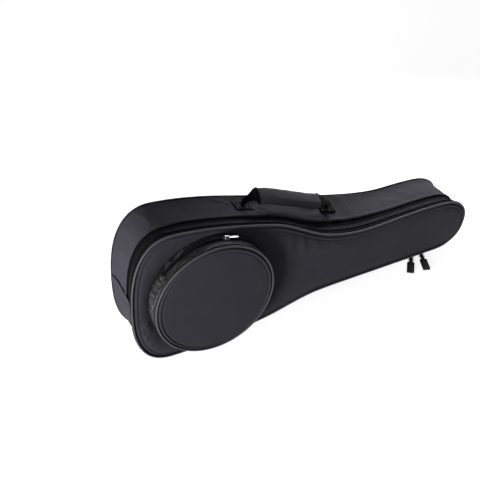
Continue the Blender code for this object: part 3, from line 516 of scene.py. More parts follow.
# Black lacquer on cast zinc: glossy, with a little orange peel
LACQUER = hard_finish(
    "black_lacquer",
    "#08080a",
    "#121214",
    (0.29, 0.42),
    (260.0, 800.0, 700.0),
    0.00006,
    0.4,
    Specular_IOR_Level=0.3,
    Coat_Weight=0.15,
    Coat_Roughness=0.2,
)


# Meshes


def seeded_noise(points, size, seed):
    """Smooth noise between about -1 and 1, with features of one size, at points in metres."""
    flat = np.asarray(points, float).reshape(-1, np.shape(points)[-1])
    shift = Vector((13.7 * seed, 7.9 * seed, 3.1 * seed))
    values = [noise.noise(Vector(tuple(p) + (0.0,) * (3 - len(p))) / size + shift) for p in flat]
    return np.array(values).reshape(np.shape(points)[:-1])


def creases(points, size, seed, width=0.10):
    """Soft crease lines that wander and break off, 0 to 1, at points in metres."""
    lines = np.exp(-((seeded_noise(points, size, seed) / width) ** 2))
    return lines * smoothstep(0.5 + 2.2 * seeded_noise(points, size * 1.6, seed + 50))


def pairs(*arrays):
    """Coordinates side by side, as points."""
    return np.stack(np.broadcast_arrays(*arrays), axis=-1)


def grid(rows, columns):
    """Two arrays of coordinates for a grid of points, from those of its rows and its columns."""
    return np.meshgrid(rows, columns, indexing="ij")


def face_out(mesh, middle):
    """Turns an open sheet's faces away from a point."""
    total = sum(face.normal.dot(face.center - Vector(middle)) * face.area for face in mesh.polygons)
    if total < 0:
        mesh.flip_normals()


def sheet(name, points, uv, material, thickness, cyclic=False, middle=None):
    """A grid of points as one smooth skin, with its map in metres. Solidify gives it its thickness."""
    rows, columns = points.shape[:2]
    faces, corners = [], []
    for i in range(rows if cyclic else rows - 1):
        n = (i + 1) % rows
        for j in range(columns - 1):
            faces.append((i * columns + j, i * columns + j + 1, n * columns + j + 1, n * columns + j))
            corners += [(i, j), (i, j + 1), (i + 1, j + 1), (i + 1, j)]
    mesh = bpy.data.meshes.new(name)
    mesh.from_pydata(in_row(points).reshape(-1, 3).tolist(), [], faces)
    layer = mesh.uv_layers.new(name="cloth")
    index = np.array(corners)
    layer.data.foreach_set("uv", uv[index[:, 0], index[:, 1]].astype(np.float32).ravel())
    mesh.update()
    face_out(mesh, BAG_MIDDLE if middle is None else middle)
    return placed(name, mesh, material, thickness)


def placed(name, mesh, material, thickness=0.0):
    """Puts a finished mesh in the scene, with its material and, where it is cloth, its thickness."""
    mesh.materials.append(material)
    mesh.shade_smooth()
    obj = bpy.data.objects.new(name, mesh)
    bpy.context.scene.collection.objects.link(obj)
    if thickness:
        wall = obj.modifiers.new("thickness", "SOLIDIFY")
        wall.thickness = thickness
        wall.offset = -1.0
    return obj


def round_sheet(name, points, material, thickness, middle=None):
    """A sheet with rows all round it that meet in its middle, mapped by its own (x, z)."""
    flat = points[..., [0, 2]]
    uv = np.concatenate([flat, flat[:1]])
    obj = sheet(name, points, uv, material, thickness, cyclic=True, middle=middle)
    work = bmesh.new()
    work.from_mesh(obj.data)
    bmesh.ops.remove_doubles(work, verts=work.verts, dist=2e-5)
    work.to_mesh(obj.data)
    work.free()
    return obj


def rings(name, loops, material, cyclic=False):
    """A solid through equal closed loops of points: a cord, a strap or a sleeve."""
    loops = np.asarray(loops)
    rows, columns = loops.shape[:2]
    work = bmesh.new()
    layer = work.loops.layers.uv.new("cloth")
    verts = [[work.verts.new(p) for p in loop] for loop in in_row(loops)]
    girth = np.linalg.norm(np.roll(loops, -1, axis=1) - loops, axis=2)
    around = np.concatenate([np.zeros((rows, 1)), np.cumsum(girth, axis=1)], axis=1)
    steps = np.linalg.norm(np.roll(loops, -1, axis=0) - loops, axis=2).mean(axis=1)
    along = np.concatenate([[0.0], np.cumsum(steps)])
    for i in range(rows if cyclic else rows - 1):
        n = (i + 1) % rows
        for j in range(columns):
            m = (j + 1) % columns
            face = work.faces.new((verts[i][j], verts[i][m], verts[n][m], verts[n][j]))
            places = ((i, j), (i, j + 1), (i + 1, j + 1), (i + 1, j))
            for corner, (a, b) in zip(face.loops, places):
                corner[layer].uv = (along[a], around[min(a, rows - 1)][b])
    if not cyclic:
        work.faces.new(verts[0])
        work.faces.new(verts[-1][::-1])
    bmesh.ops.recalc_face_normals(work, faces=work.faces)
    mesh = bpy.data.meshes.new(name)
    work.to_mesh(mesh)
    work.free()
    made = placed(name, mesh, material)
    mesh.set_sharp_from_angle(angle=math.radians(50))
    return made


def oval(width, thickness, squareness, count):
    """A rounded loop of (across, up) points, from an ellipse at 2 towards a rectangle."""
    angle = 2 * math.pi * (np.arange(count) + 0.5) / count
    c, s = np.cos(angle), np.sin(angle)
    power = 2.0 / squareness
    across = 0.5 * width * np.sign(c) * np.abs(c) ** power
    return np.stack([across, 0.5 * thickness * np.sign(s) * np.abs(s) ** power], axis=-1)


def finish_piece(obj, body, nodes=()):
    """Gives a piece its body and hides the CAD nodes that it stands for."""
    if body is not None:
        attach(obj, body)
    if nodes:
        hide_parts(*nodes)
    return obj


# Rows of small equal pieces: stitches and the turns of zip coils


def row_tree():
    """Nodes that set a rounded bead on a line at every pitch, flat on the cloth and at a slant."""
    tree = bpy.data.node_groups.new("row_of_beads", "GeometryNodeTree")
    face = tree.interface
    face.new_socket("Line", in_out="INPUT", socket_type="NodeSocketGeometry")
    for name in ("Pitch", "Length", "Width", "Height", "Slant", "Unevenness"):
        face.new_socket(name, in_out="INPUT", socket_type="NodeSocketFloat")
    face.new_socket("Finish", in_out="INPUT", socket_type="NodeSocketMaterial")
    face.new_socket("Beads", in_out="OUTPUT", socket_type="NodeSocketGeometry")
    given = add(tree, "NodeGroupInput").outputs
    curve = add(tree, "GeometryNodeMeshToCurve", {"Mesh": given["Line"]})
    links = {"Curve": curve.outputs[0], "Length": given["Pitch"]}
    points = add(tree, "GeometryNodeResampleCurve", links, mode="LENGTH")
    out = add(tree, "GeometryNodeInputNamedAttribute", {"Name": "out"}, data_type="FLOAT_VECTOR")
    along = add(tree, "GeometryNodeInputTangent").outputs[0]
    links = {"Primary Axis": out.outputs[0], "Secondary Axis": along}
    upright = add(tree, "FunctionNodeAxesToRotation", links, primary_axis="Z", secondary_axis="X")
    least = maths(tree, "MULTIPLY", given["Unevenness"], -1.0)
    links = {"Min": least, "Max": given["Unevenness"], "Seed": 7}
    chance = add(tree, "FunctionNodeRandomValue", links, data_type="FLOAT")
    floats = [socket for socket in chance.outputs if socket.type == "VALUE"]
    slant = maths(tree, "ADD", given["Slant"], floats[0])
    turn = add(tree, "ShaderNodeCombineXYZ", {"Z": slant})
    euler = add(tree, "FunctionNodeEulerToRotation", {0: turn.outputs[0]})
    links = {"Rotation": upright.outputs[0], "Rotate By": euler.outputs[0]}
    turned = add(tree, "FunctionNodeRotateRotation", links, rotation_space="LOCAL")
    bead = add(tree, "GeometryNodeMeshUVSphere", {"Segments": 8, "Rings": 5, "Radius": 0.5})
    links = {"X": given["Length"], "Y": given["Width"], "Z": given["Height"]}
    size = add(tree, "ShaderNodeCombineXYZ", links)
    shaped = add(tree, "GeometryNodeTransform", {"Geometry": bead.outputs[0], "Scale": size.outputs[0]})
    links = {"Points": points.outputs[0], "Instance": shaped.outputs[0], "Rotation": turned.outputs[0]}
    set_down = add(tree, "GeometryNodeInstanceOnPoints", links)
    real = add(tree, "GeometryNodeRealizeInstances", {"Geometry": set_down.outputs[0]})
    links = {"Geometry": real.outputs[0], "Material": given["Finish"]}
    dressed = add(tree, "GeometryNodeSetMaterial", links)
    add(tree, "NodeGroupOutput", {0: dressed.outputs[0]})
    return tree


ROW_TREE = row_tree()


def row_of(name, lines, material, pitch, size, slant=0.0, unevenness=0.0):
    """Beads along lines. Each line is its points and the outward direction at each of them."""
    points = np.concatenate([line for line, _ in lines])
    outs = np.concatenate([np.broadcast_to(out, line.shape) for line, out in lines]) @ TURN.T
    edges, start = [], 0
    for line, _ in lines:
        edges += [(start + k, start + k + 1) for k in range(len(line) - 1)]
        start += len(line)
    mesh = bpy.data.meshes.new(name)
    mesh.from_pydata(in_row(points).tolist(), edges, [])
    outward = mesh.attributes.new("out", "FLOAT_VECTOR", "POINT")
    outward.data.foreach_set("vector", outs.astype(np.float32).ravel())
    guide = bpy.data.objects.new(name + "_guide", mesh)
    bpy.context.scene.collection.objects.link(guide)
    beads = guide.modifiers.new("beads", "NODES")
    beads.node_group = ROW_TREE
    values = dict(zip(("Length", "Width", "Height"), size), Pitch=pitch, Slant=slant)
    values.update(Unevenness=unevenness, Finish=material)
    for socket in ROW_TREE.interface.items_tree:
        if socket.in_out == "INPUT" and socket.name in values:
            beads[socket.identifier] = values[socket.name]
    graph = bpy.context.evaluated_depsgraph_get()
    made = bpy.data.meshes.new_from_object(guide.evaluated_get(graph))
    made.name = name
    made.materials.clear()
    bpy.data.objects.remove(guide, do_unlink=True)
    return placed(name, made, material)


def stitches(name, lines, body, pitch=0.0034, thread=0.0008):
    """Lockstitch along lines on cloth, on one body."""
    size = (pitch * 0.72, thread, thread * 0.8)
    obj = row_of(name, lines, THREAD, pitch, size, unevenness=math.radians(5))
    return finish_piece(obj, body)


# Covers of the front and the back

PANEL_INSET = 2 * PIPING_RADIUS + 0.0009
PANEL_COLUMNS = 34
FOOT_STEPS = 110
# How far in from the seam the padding reaches its full height, and that height on each side
PUFF_REACH = 0.036
FRONT_RISE = 0.0062
BACK_RISE = 0.0045
LOW_CORNER = np.array((0.045, -0.085))


def panel_grid(inset, y, steps=680):
    """Points of a panel in rows along the outline and columns inwards, to its middle line.

    The rows from both sides end on the same steps of the middle line, so that they close there.
    Gives the points as (x, z), how far along the outline each row is, and how far in each point is.
    """
    s = np.linspace(0.0, OUTLINE_TOTAL, steps, endpoint=False)
    start = outline_point(s) + (inset - lift(s, y))[:, None] * outline_inward(s)
    foot_start, foot_end = BOUT_X * 1.25, BAG_LENGTH - HEAD_ROUND_LENGTH * 0.8
    share = np.clip((start[:, 0] - foot_start) / (foot_end - foot_start), 0.0, 1.0)
    foot_x = foot_start + (foot_end - foot_start) * np.round(share * FOOT_STEPS) / FOOT_STEPS
    foot_z = np.array([centre_height(x) for x in foot_x])
    foot = np.stack([foot_x, foot_z], axis=-1)
    share = np.linspace(0.0, 1.0, PANEL_COLUMNS) ** 1.7
    points = start[:, None] + (foot - start)[:, None] * share[None, :, None]
    depth = np.linalg.norm(points - start[:, None], axis=-1)
    return points, s, depth


def panel_puff(points, s, depth, seed, rise):
    """How far the padded cloth stands out of the panel's plane, in metres."""
    along = np.broadcast_to(s[:, None], depth.shape)
    inside = smoothstep(depth / PUFF_REACH)
    puff = rise * (1.0 - (1.0 - np.clip(depth / PUFF_REACH, 0.0, 1.0)) ** 3)
    puff += ridge(depth, width=0.0010, height=-0.0010)
    flange = ridge(depth, width=0.0014, height=0.0013, at=0.0032)
    seam = ridge(depth, width=0.0010, height=-0.0013, at=0.0062)
    puckers = 0.0006 * (1.0 - inside) ** 2 * seeded_noise(pairs(along, depth * 0.3), 0.0085, seed)
    slack = 0.0011 * seeded_noise(points, 0.085, seed + 1) * inside
    small = 0.0004 * seeded_noise(points, 0.030, seed + 2) * inside
    return puff + flange + seam + puckers + slack + small


# Folds in the front's cloth, in millimetres: x and z of both ends, width across, height
FOLDS = (
    (12, -42, 34, -24, 4, 2),
    (24, -30, 30, -54, 4, 2),
    (10, -74, 24, -56, 5, 2),
    (22, -88, 38, -66, 5, 2),
    (266, 30, 266, 66, 7, 2),
    (292, 30, 288, 60, 8, 2),
    (322, 24, 318, 54, 9, 1),
    (340, 58, 374, 46, 6, 1),
)


def folded(points):
    """The height of all the folds at a panel's points. Each fades out towards its ends."""
    total = np.zeros(points.shape[:-1])
    for x0, z0, x1, z1, width, height in 0.001 * np.array(FOLDS):
        start, run = np.array((x0, z0)), np.array((x1 - x0, z1 - z0))
        length = np.linalg.norm(run)
        away = (points - start) @ run / length**2
        beside = (points - start) @ np.array((-run[1], run[0])) / length
        beside = beside + 0.15 * length * (away - 0.5) ** 2
        ends = smoothstep((away + 0.25) / 0.45) * smoothstep((1.25 - away) / 0.45)
        total += ends * ridge(beside, width, height)
    return total


def from_pocket(points):
    """How far panel points lie outside the pocket's foot."""
    return np.hypot(points[..., 0] - POCKET_X, points[..., 1] - POCKET_Z) - POCKET_RADIUS


def front_slack(points, depth):
    """Folds, and the creases where the pocket drags at the lid: in its lower corner and beside it."""
    inside = smoothstep((depth - 0.004) / 0.010)
    corner = np.exp(-(np.linalg.norm(points - LOW_CORNER, axis=-1) ** 2) / 0.0014)
    turned = pairs(points[..., 0] + 0.6 * points[..., 1], 0.35 * (points[..., 1] - 0.6 * points[..., 0]))
    total = 0.0010 * corner * creases(turned, 0.015, 11, 0.18)
    away = from_pocket(points)
    angle = np.arctan2(points[..., 1] - POCKET_Z, points[..., 0] - POCKET_X)
    fan = pairs(angle * POCKET_RADIUS, 0.3 * away)
    total += ridge(away, width=0.018, height=0.0010, at=0.014) * creases(fan, 0.019, 12, 0.16)
    return (total + folded(points)) * inside


def build_front_cover():
    """The lid's padded front, drawn down where the pocket is sewn on."""
    points, s, depth = panel_grid(PANEL_INSET, 0.0)
    height = panel_puff(points, s, depth, 3, FRONT_RISE) + front_slack(points, depth)
    away = from_pocket(points)
    held = np.where(away > 0, 1.0 - 0.85 * np.exp(-away / 0.011), 0.12)
    obj = round_sheet("front_cover", at_depth(points, 0.0003 - height * held), OXFORD, COVER_THICKNESS)
    finish_piece(obj, "lid", ["front_panel"])


def build_back_cover():
    """The bag's padded back, flatter than its front."""
    points, s, depth = panel_grid(PANEL_INSET, BAG_DEPTH)
    height = panel_puff(points, s, depth, 8, BACK_RISE)
    place = at_depth(points, BAG_DEPTH - 0.0003 + height)
    obj = round_sheet("back_cover", place, OXFORD, COVER_THICKNESS)
    finish_piece(obj, "bag", ["back_panel"])


# Side walls

GUSSET_Y = ZIP_LINE_Y + ZIP_GAP / 2 + COIL_WIDTH + SEAM_GAP + BACK_TAPE_WIDTH + SEAM_GAP
BACK_Y = BAG_DEPTH - PIPING_RADIUS - SEAM_GAP
FRONT_Y = PIPING_RADIUS + SEAM_GAP
HEM_WIDTH = 0.0068


def wall_relief(s, y, y0, y1, seed):
    """The cloth's slack on a side wall: puckers at both seams, and slow dents between them."""
    share = (y - y0) / (y1 - y0)
    from_seam = np.minimum(y - y0, y1 - y)
    wide = np.sin(np.pi * np.clip(share, 0, 1))
    puckers = 0.0006 * np.exp(-from_seam / 0.010) * seeded_noise(pairs(s, y * 0.2), 0.0095, seed)
    streaks = 0.0009 * wide * seeded_noise(pairs(s, y * 0.35), 0.026, seed + 1)
    dents = 0.0022 * wide * seeded_noise(pairs(s, y * 0.8), 0.080, seed + 2)
    folds = 0.0009 * wide * creases(pairs(s, y * 0.45), 0.030, seed + 3)
    return puckers + streaks + dents + folds


def hem(y, edge):
    """The turned edge of the wall's cloth: a doubled band, sewn down behind the zip."""
    away = y - edge
    band = 0.0015 * (1.0 - smoothstep((away - HEM_WIDTH + 0.0008) / 0.0014))
    return band + ridge(away, width=0.0008, height=-0.0010)


def handle_pull(s, y):
    """Where the handle's ends lift the cloth, and the valleys that run from them to the seams."""
    total = np.zeros_like(s)
    for x, seed in ((HANDLE_TAIL_X, 91), (HANDLE_HEAD_X, 92)):
        along = s - length_at_upper(x)
        across = y - HANDLE_Y
        away = np.hypot(along / 0.034, across / 0.026)
        turn = np.arctan2(across, along)
        fan = creases(pairs(turn * 0.02, away * 0.006), 0.010, seed, 0.16)
        total += 0.0016 * fan * np.exp(-((away - 1.0) ** 2) / 0.4)
        valley = ridge(along, width=0.012, height=-0.0012, at=0.024)
        total += valley * ridge(across, width=0.030, height=1.0)
    return total


def off_floor(s):
    """The share of the slack that is left at a place on the wall: little where the bag stands."""
    return 0.15 + 0.85 * smoothstep(np.abs(s - CONTACT) / 0.05)


def side_height(s, y):
    """How far the side wall's cloth stands proud of the CAD's wall."""
    relief = wall_relief(s, y, GUSSET_Y, BACK_Y, 21) + hem(y, GUSSET_Y) + handle_pull(s, y)
    return relief * off_floor(s)


def bottom_height(s, y):
    """The hinge side's cloth. It laps over the side wall's end at the middle of the tail."""
    lap = 0.0018 * smoothstep((s - OUTLINE_TOTAL + 0.011) / 0.0016)
    relief = wall_relief(s, y, FRONT_Y, BACK_Y, 31) + lap
    return relief * off_floor(s)


def wall_sheet(name, start, end, y0, height):
    """A stretch of cloth wall, with its height proud of the CAD's wall given by a function."""
    rows = round((end - start) / 0.0026)
    s, y = grid(np.linspace(start, end, rows), np.linspace(y0, BACK_Y, 38))
    place = wall_point(s, y, WALL_INSET - height(s, y))
    return sheet(name, place, pairs(s, y), OXFORD, COVER_THICKNESS)


def wall_line(s, y, proud):
    """A line along a side wall with its outward directions, for a row of stitches."""
    s, y = np.broadcast_arrays(np.asarray(s, float), np.asarray(y, float))
    return wall_point(s, y, WALL_INSET - proud), wall_axes(s, y)[2]


def build_side_walls():
    """The wall behind the zip, and the one under the bag at the hinge, where no zip is. The hinge's wall
    is baked in place and given no body.
    """
    obj = wall_sheet("side_cover", SEAM_GAP, ZIP_END - SEAM_GAP, GUSSET_Y, side_height)
    finish_piece(obj, "bag", ["gusset"])
    obj = wall_sheet("bottom_cover", ZIP_END + SEAM_GAP, OUTLINE_TOTAL + 0.004, FRONT_Y, bottom_height)
    in_row([0.1, 0.045, 0.0])
    in_row([0.1, 0.004, 0.0])
    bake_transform(obj)
    finish_piece(obj, None, ["hinge_gusset", "hinge_strip"])
    s = np.linspace(0.012, ZIP_END - 0.004, 460)
    y = np.full_like(s, GUSSET_Y + HEM_WIDTH - 0.0016)
    hem_line = wall_line(s, y, side_height(s, y))
    y = np.linspace(GUSSET_Y, BACK_Y - 0.001, 40)
    s = np.full_like(y, OUTLINE_TOTAL + 0.0016)
    seam_line = wall_line(s, y, bottom_height(s, y))
    stitches("side_stitches", [hem_line, seam_line], "bag")


# Piping, zip tapes and coils


def whole_turn(count):
    """Equal steps of angle all round."""
    return np.linspace(0.0, 2 * math.pi, count, endpoint=False)


def piping_loops(y, inset, high, wide, sides):
    """Loops of points round a cord or a flat band that follows the outline inside it."""
    s = np.linspace(0.0, OUTLINE_TOTAL, 560, endpoint=False)
    inward = outline_inward(s)
    middle = outline_point(s) + (inset - lift(s, y))[:, None] * inward
    swell = 1.0 + 0.05 * seeded_noise(pairs(s, s * 0), 0.012, 5)
    angle = whole_turn(sides)
    out = high * swell[:, None] * np.cos(angle)[None]
    side = wide * swell[:, None] * np.sin(angle)[None]
    flat = middle[:, None] - out[..., None] * inward[:, None]
    return at_depth(flat, y + side)


# Radius of the piping's cord as it shows, between the cloths that are sewn over it
CORD = 0.0016


def build_pipings():
    """The corded edges. Each cord stands on a flange of near-black binding, which shows in the seams
    beside it as painted shade in their grooves.
    """
    for name, y, inward, body, node in (
        ("front_edge", 0.0, 1, "lid", "front_piping"),
        ("back_edge", BAG_DEPTH, -1, "bag", "back_piping"),
    ):
        cord = piping_loops(y - inward * 0.0003, PIPING_RADIUS, CORD, CORD, 14)
        finish_piece(rings(name + "_piping", cord, PIPING, cyclic=True), body, [node])
        # The flange's near-black binding is painted shade in the grooves beside the cord
        flange = piping_loops(y + inward * 0.0020, PIPING_RADIUS + 0.0009, 0.0030, 0.0007, 8)
        finish_piece(rings(name + "_flange", flange, BINDING_AND_SEAM_SHADE, cyclic=True), body)


# How far the zip's tapes lie in below the cloth beside them
TAPE_SINK = 0.0012


def build_zip():
    """The main zip's tapes, sewn along both seams, and the turns of its two coils."""
    y = ZIP_LINE_Y
    outer = ZIP_GAP / 2 + COIL_WIDTH + SEAM_GAP
    for name, y0, y1, body, node in (
        ("front_tape", FRONT_Y, y - outer, "lid", "front_zip_tape"),
        ("back_tape", y + outer, GUSSET_Y + 0.002, "bag", "back_zip_tape"),
    ):
        rows = round(ZIP_END / 0.004)
        s, across = grid(np.linspace(SEAM_GAP, ZIP_END - SEAM_GAP, rows), np.linspace(y0, y1, 9))
        ripple = 0.0003 * seeded_noise(pairs(s, across), 0.03, 41)
        place = wall_point(s, across, WALL_INSET + TAPE_SINK - ripple)
        obj = sheet(name, place, pairs(s, across), TAPE, ZIP_CLOTH)
        finish_piece(obj, body, [node])
    s = np.linspace(0.008, ZIP_END - 0.008, 700)
    for name, side, body in (("front_coil_turns", -1, "lid"), ("back_coil_turns", 1, "bag")):
        centre = ZIP_GAP / 2 + COIL_WIDTH / 2
        line = wall_line(s, y + side * centre, WALL_INSET - 0.0010)
        turn = (0.0013, COIL_WIDTH * 0.96, 0.0020)
        obj = row_of(name, [line], COIL, 0.0016, turn, slant=side * 0.12)
        finish_piece(obj, body)


# Round pocket


def pocket_point(angle, radius, y):
    angle, radius, y = np.broadcast_arrays(angle, radius, y)
    return np.stack([POCKET_X + radius * np.cos(angle), y, POCKET_Z + radius * np.sin(angle)], axis=-1)


POCKET_MIDDLE = in_row(np.array([POCKET_X, -POCKET_DEPTH * 0.4, POCKET_Z]))
POCKET_BASE_Y = -0.0006
POCKET_RIM_Y = -(POCKET_DEPTH - POCKET_PIPING_RADIUS - SEAM_GAP)


def pocket_slack(along, y, seed):
    """Crumples of the slack cloth round the pocket, about a finger's width apart."""
    slanted = pairs(along + 0.6 * y, y * 0.75)
    relief = 0.0042 * seeded_noise(slanted, 0.0125, seed)
    relief += 0.0027 * creases(slanted, 0.0120, seed + 1, 0.22)
    return relief + 0.0010 * seeded_noise(pairs(along, y), 0.006, seed + 2)


def build_pocket_wall():
    """The slack wall of the pocket, gathered between the bag's front and the pocket's piping."""
    start, end = POCKET_ZIP_END - math.radians(3), POCKET_ZIP_START + math.radians(363)
    angle, share = grid(np.linspace(start, end, 460), np.linspace(0.0, 1.0, 20))
    y = POCKET_BASE_Y + (POCKET_RIM_Y - POCKET_BASE_Y) * share
    along = angle * POCKET_RADIUS
    wide = np.sin(math.pi * share) ** 0.8
    gathered = 0.40 + ridge(angle, width=math.radians(34), height=0.60, at=math.radians(160))
    relief = pocket_slack(along, y, 51)
    from_end = np.minimum(angle - start, end - angle) * POCKET_RADIUS
    tucked = 0.0014 * (1.0 - smoothstep((from_end - 0.004) / 0.004))
    radius = POCKET_RADIUS - 0.0024 * wide + relief * wide * gathered - tucked
    place = pocket_point(angle, radius, y)
    # The wall's cloth is painted near black: painted shade on the pocket's deep wall
    obj = sheet("pocket_wall", place, pairs(along, y), SHADED_POCKET_CLOTH, ZIP_CLOTH, middle=POCKET_MIDDLE)
    finish_piece(obj, "lid", ["pocket_gusset"])


def build_pocket_zip():
    """The pocket zip's tapes, slack away from the zip itself, and the turns of its two coils."""
    start, end = POCKET_ZIP_START + 0.002, POCKET_ZIP_END - 0.002
    outer = ZIP_GAP / 2 + POCKET_COIL_WIDTH
    for name, y0, y1, body, node in (
        ("pocket_base_tape", POCKET_BASE_Y, POCKET_ZIP_Y + outer, "lid", "pocket_tape_base"),
        ("pocket_flap_tape", POCKET_ZIP_Y - outer, POCKET_RIM_Y, "pocket_flap", "pocket_tape_flap"),
    ):
        angle, y = grid(np.linspace(start, end, 150), np.linspace(y0, y1, 10))
        left = 0.25 + 0.75 * smoothstep((angle - math.radians(92)) / math.radians(30))
        wide = np.sin(math.pi * np.clip((y - y0) / (y1 - y0), 0.0, 1.0)) ** 0.8
        wide = wide * smoothstep((np.abs(y - POCKET_ZIP_Y) - 0.0045) / 0.0025)
        slack = 0.9 * pocket_slack(angle * POCKET_RADIUS, y, 51 + (body == "lid")) * left * wide
        place = pocket_point(angle, POCKET_RADIUS - 0.0002 + slack, y)
        uv = pairs(angle * POCKET_RADIUS, y)
        obj = sheet(name, place, uv, POCKET_TAPE, ZIP_CLOTH, middle=POCKET_MIDDLE)
        finish_piece(obj, body, [node])
    angle = np.linspace(start + 0.02, end - 0.02, 160)
    out = pocket_point(angle, 1.0, 0.0) - np.array((POCKET_X, 0.0, POCKET_Z))
    for name, side, body in (("pocket_base_turns", 1, "lid"), ("pocket_flap_turns", -1, "pocket_flap")):
        centre = ZIP_GAP / 2 + POCKET_COIL_WIDTH / 2
        line = pocket_point(angle, POCKET_RADIUS - 0.0002, POCKET_ZIP_Y + side * centre)
        turn = (0.0011, POCKET_COIL_WIDTH * 0.96, 0.0012)
        obj = row_of(name, [(line, out)], COIL, 0.0013, turn)
        finish_piece(obj, body)


FOLD_Z = POCKET_Z + POCKET_RADIUS * math.sin(POCKET_ZIP_START)
FOLD_START = in_row([POCKET_X, -POCKET_DEPTH, FOLD_Z - 0.007])
FOLD_END = in_row([POCKET_X, -POCKET_DEPTH, FOLD_Z + 0.007])
POCKET_EDGE = POCKET_RADIUS - 2 * POCKET_PIPING_RADIUS - 0.0005


def bends_with_flap(obj):
    """Bakes a piece's place into its mesh; nothing here bends it at the pocket's fold."""
    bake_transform(obj)


def build_pocket_front():
    """The pocket's crowned front, baked in place."""
    angle, share = grid(whole_turn(280), 1.0 - np.linspace(0.0, 1.0, 64) ** 1.3)
    radius = POCKET_EDGE * share
    depth = POCKET_EDGE - radius
    place = pocket_point(angle, radius, 0.0)
    flat = place[..., [0, 2]]
    rise = 0.0014 + (POCKET_CROWN + 0.001) * (1.0 - share**2) ** 0.8
    flange = ridge(depth, width=0.0013, height=0.0012, at=0.0028) - 0.0016 * np.exp(-depth / 0.0009)
    seam = ridge(depth, width=0.0010, height=-0.0010, at=0.0058)
    gathers = seeded_noise(pairs(angle * POCKET_EDGE, depth * 0.3), 0.007, 61)
    puckers = 0.0003 * np.exp(-depth / 0.009) * gathers
    slack = 0.0014 * seeded_noise(flat, 0.060, 62) * (1.0 - share**4)
    place[..., 1] = -(POCKET_DEPTH + rise + flange + seam + puckers + slack)
    obj = round_sheet("pocket_face", place, OXFORD, 0.0010, middle=POCKET_MIDDLE)
    bends_with_flap(obj)
    finish_piece(obj, None, ["pocket_front", "pocket_flap_front"])


def pocket_ring(name, material, radius, y, out, along, nodes=(), foot=False):
    """A cord or a flat band round the pocket, by its half sizes out from it and along its depth."""
    angle, side = grid(whole_turn(240), whole_turn(14))
    loops = pocket_point(angle, radius + out * np.cos(side), y + along * np.sin(side))
    obj = rings(name, loops, material, cyclic=True)
    if foot:
        finish_piece(obj, "lid", nodes)
    else:
        bends_with_flap(obj)
        finish_piece(obj, None, nodes)


def build_pocket_edge():
    """The cord and its flange round the pocket's front, and the bound seam round its foot. The flange and
    the foot seam are near-black binding: painted shade in the groove beside the cord and in the crease at
    the pocket's foot.
    """
    middle = POCKET_RADIUS - POCKET_PIPING_RADIUS
    nodes = ["pocket_piping", "pocket_flap_piping"]
    pocket_ring("pocket_edge_piping", PIPING, middle, -POCKET_DEPTH - 0.0004, CORD, CORD, nodes)
    flange_y = -POCKET_DEPTH + 0.0016
    pocket_ring("pocket_edge_flange", BINDING_AND_SEAM_SHADE, middle - 0.0006, flange_y, 0.0027, 0.0007)
    foot_y = POCKET_BASE_Y - 0.0006
    # The foot seam's near-black binding is painted shade in the crease where the pocket's wall meets the
    # front
    pocket_ring("pocket_foot_seam", BINDING_AND_SEAM_SHADE, POCKET_RADIUS, foot_y, 0.0012, 0.0012, foot=True)


def build_pocket_lining():
    """The lining inside the pocket's front, over its pad."""
    angle, share = grid(whole_turn(240), np.linspace(1.0, 0.0, 14))
    place = pocket_point(angle, (POCKET_EDGE - 0.001) * share, 0.0)
    place[..., 1] = -(POCKET_DEPTH - 0.0050 + POCKET_CROWN * (1.0 - share**2))
    obj = round_sheet("pocket_inside", place, LINING, LINING_THICKNESS, middle=POCKET_MIDDLE)
    bends_with_flap(obj)
    nodes = ["pocket_pad", "pocket_flap_pad", "pocket_lining", "pocket_flap_lining"]
    finish_piece(obj, None, nodes)


# Linings and bound seams, which show when the lid is open

FOAM_START = COVER_THICKNESS / 2 + LAYER_GAP
LINING_END = FOAM_START + FOAM_THICKNESS + LAYER_GAP + LINING_THICKNESS
WALL_FOAM_INSET = WALL_INSET + COVER_THICKNESS + LAYER_GAP
# How soon the lining reaches its full height over the foam's edge, and how thick it is by itself
FOAM_ROUND = 0.0022
LINING_CLOTH = 0.0004


def padded_panel(name, y_cover, y_inside, body, nodes, seed):
    """The lining over the foam: flat against the cover and rounded over the foam's edge."""
    points, _, depth = panel_grid(PANEL_INSET + 0.0004, y_cover, steps=360)
    toward = 1.0 if y_inside > y_cover else -1.0
    round_over = 1.0 - np.exp(-depth / FOAM_ROUND)
    dimple = 0.0006 * seeded_noise(points, 0.05, seed) * round_over - 0.0006
    y = y_cover + (y_inside - y_cover) * round_over + toward * dimple
    obj = round_sheet(name, at_depth(points, y), LINING, LINING_CLOTH)
    finish_piece(obj, body, nodes)


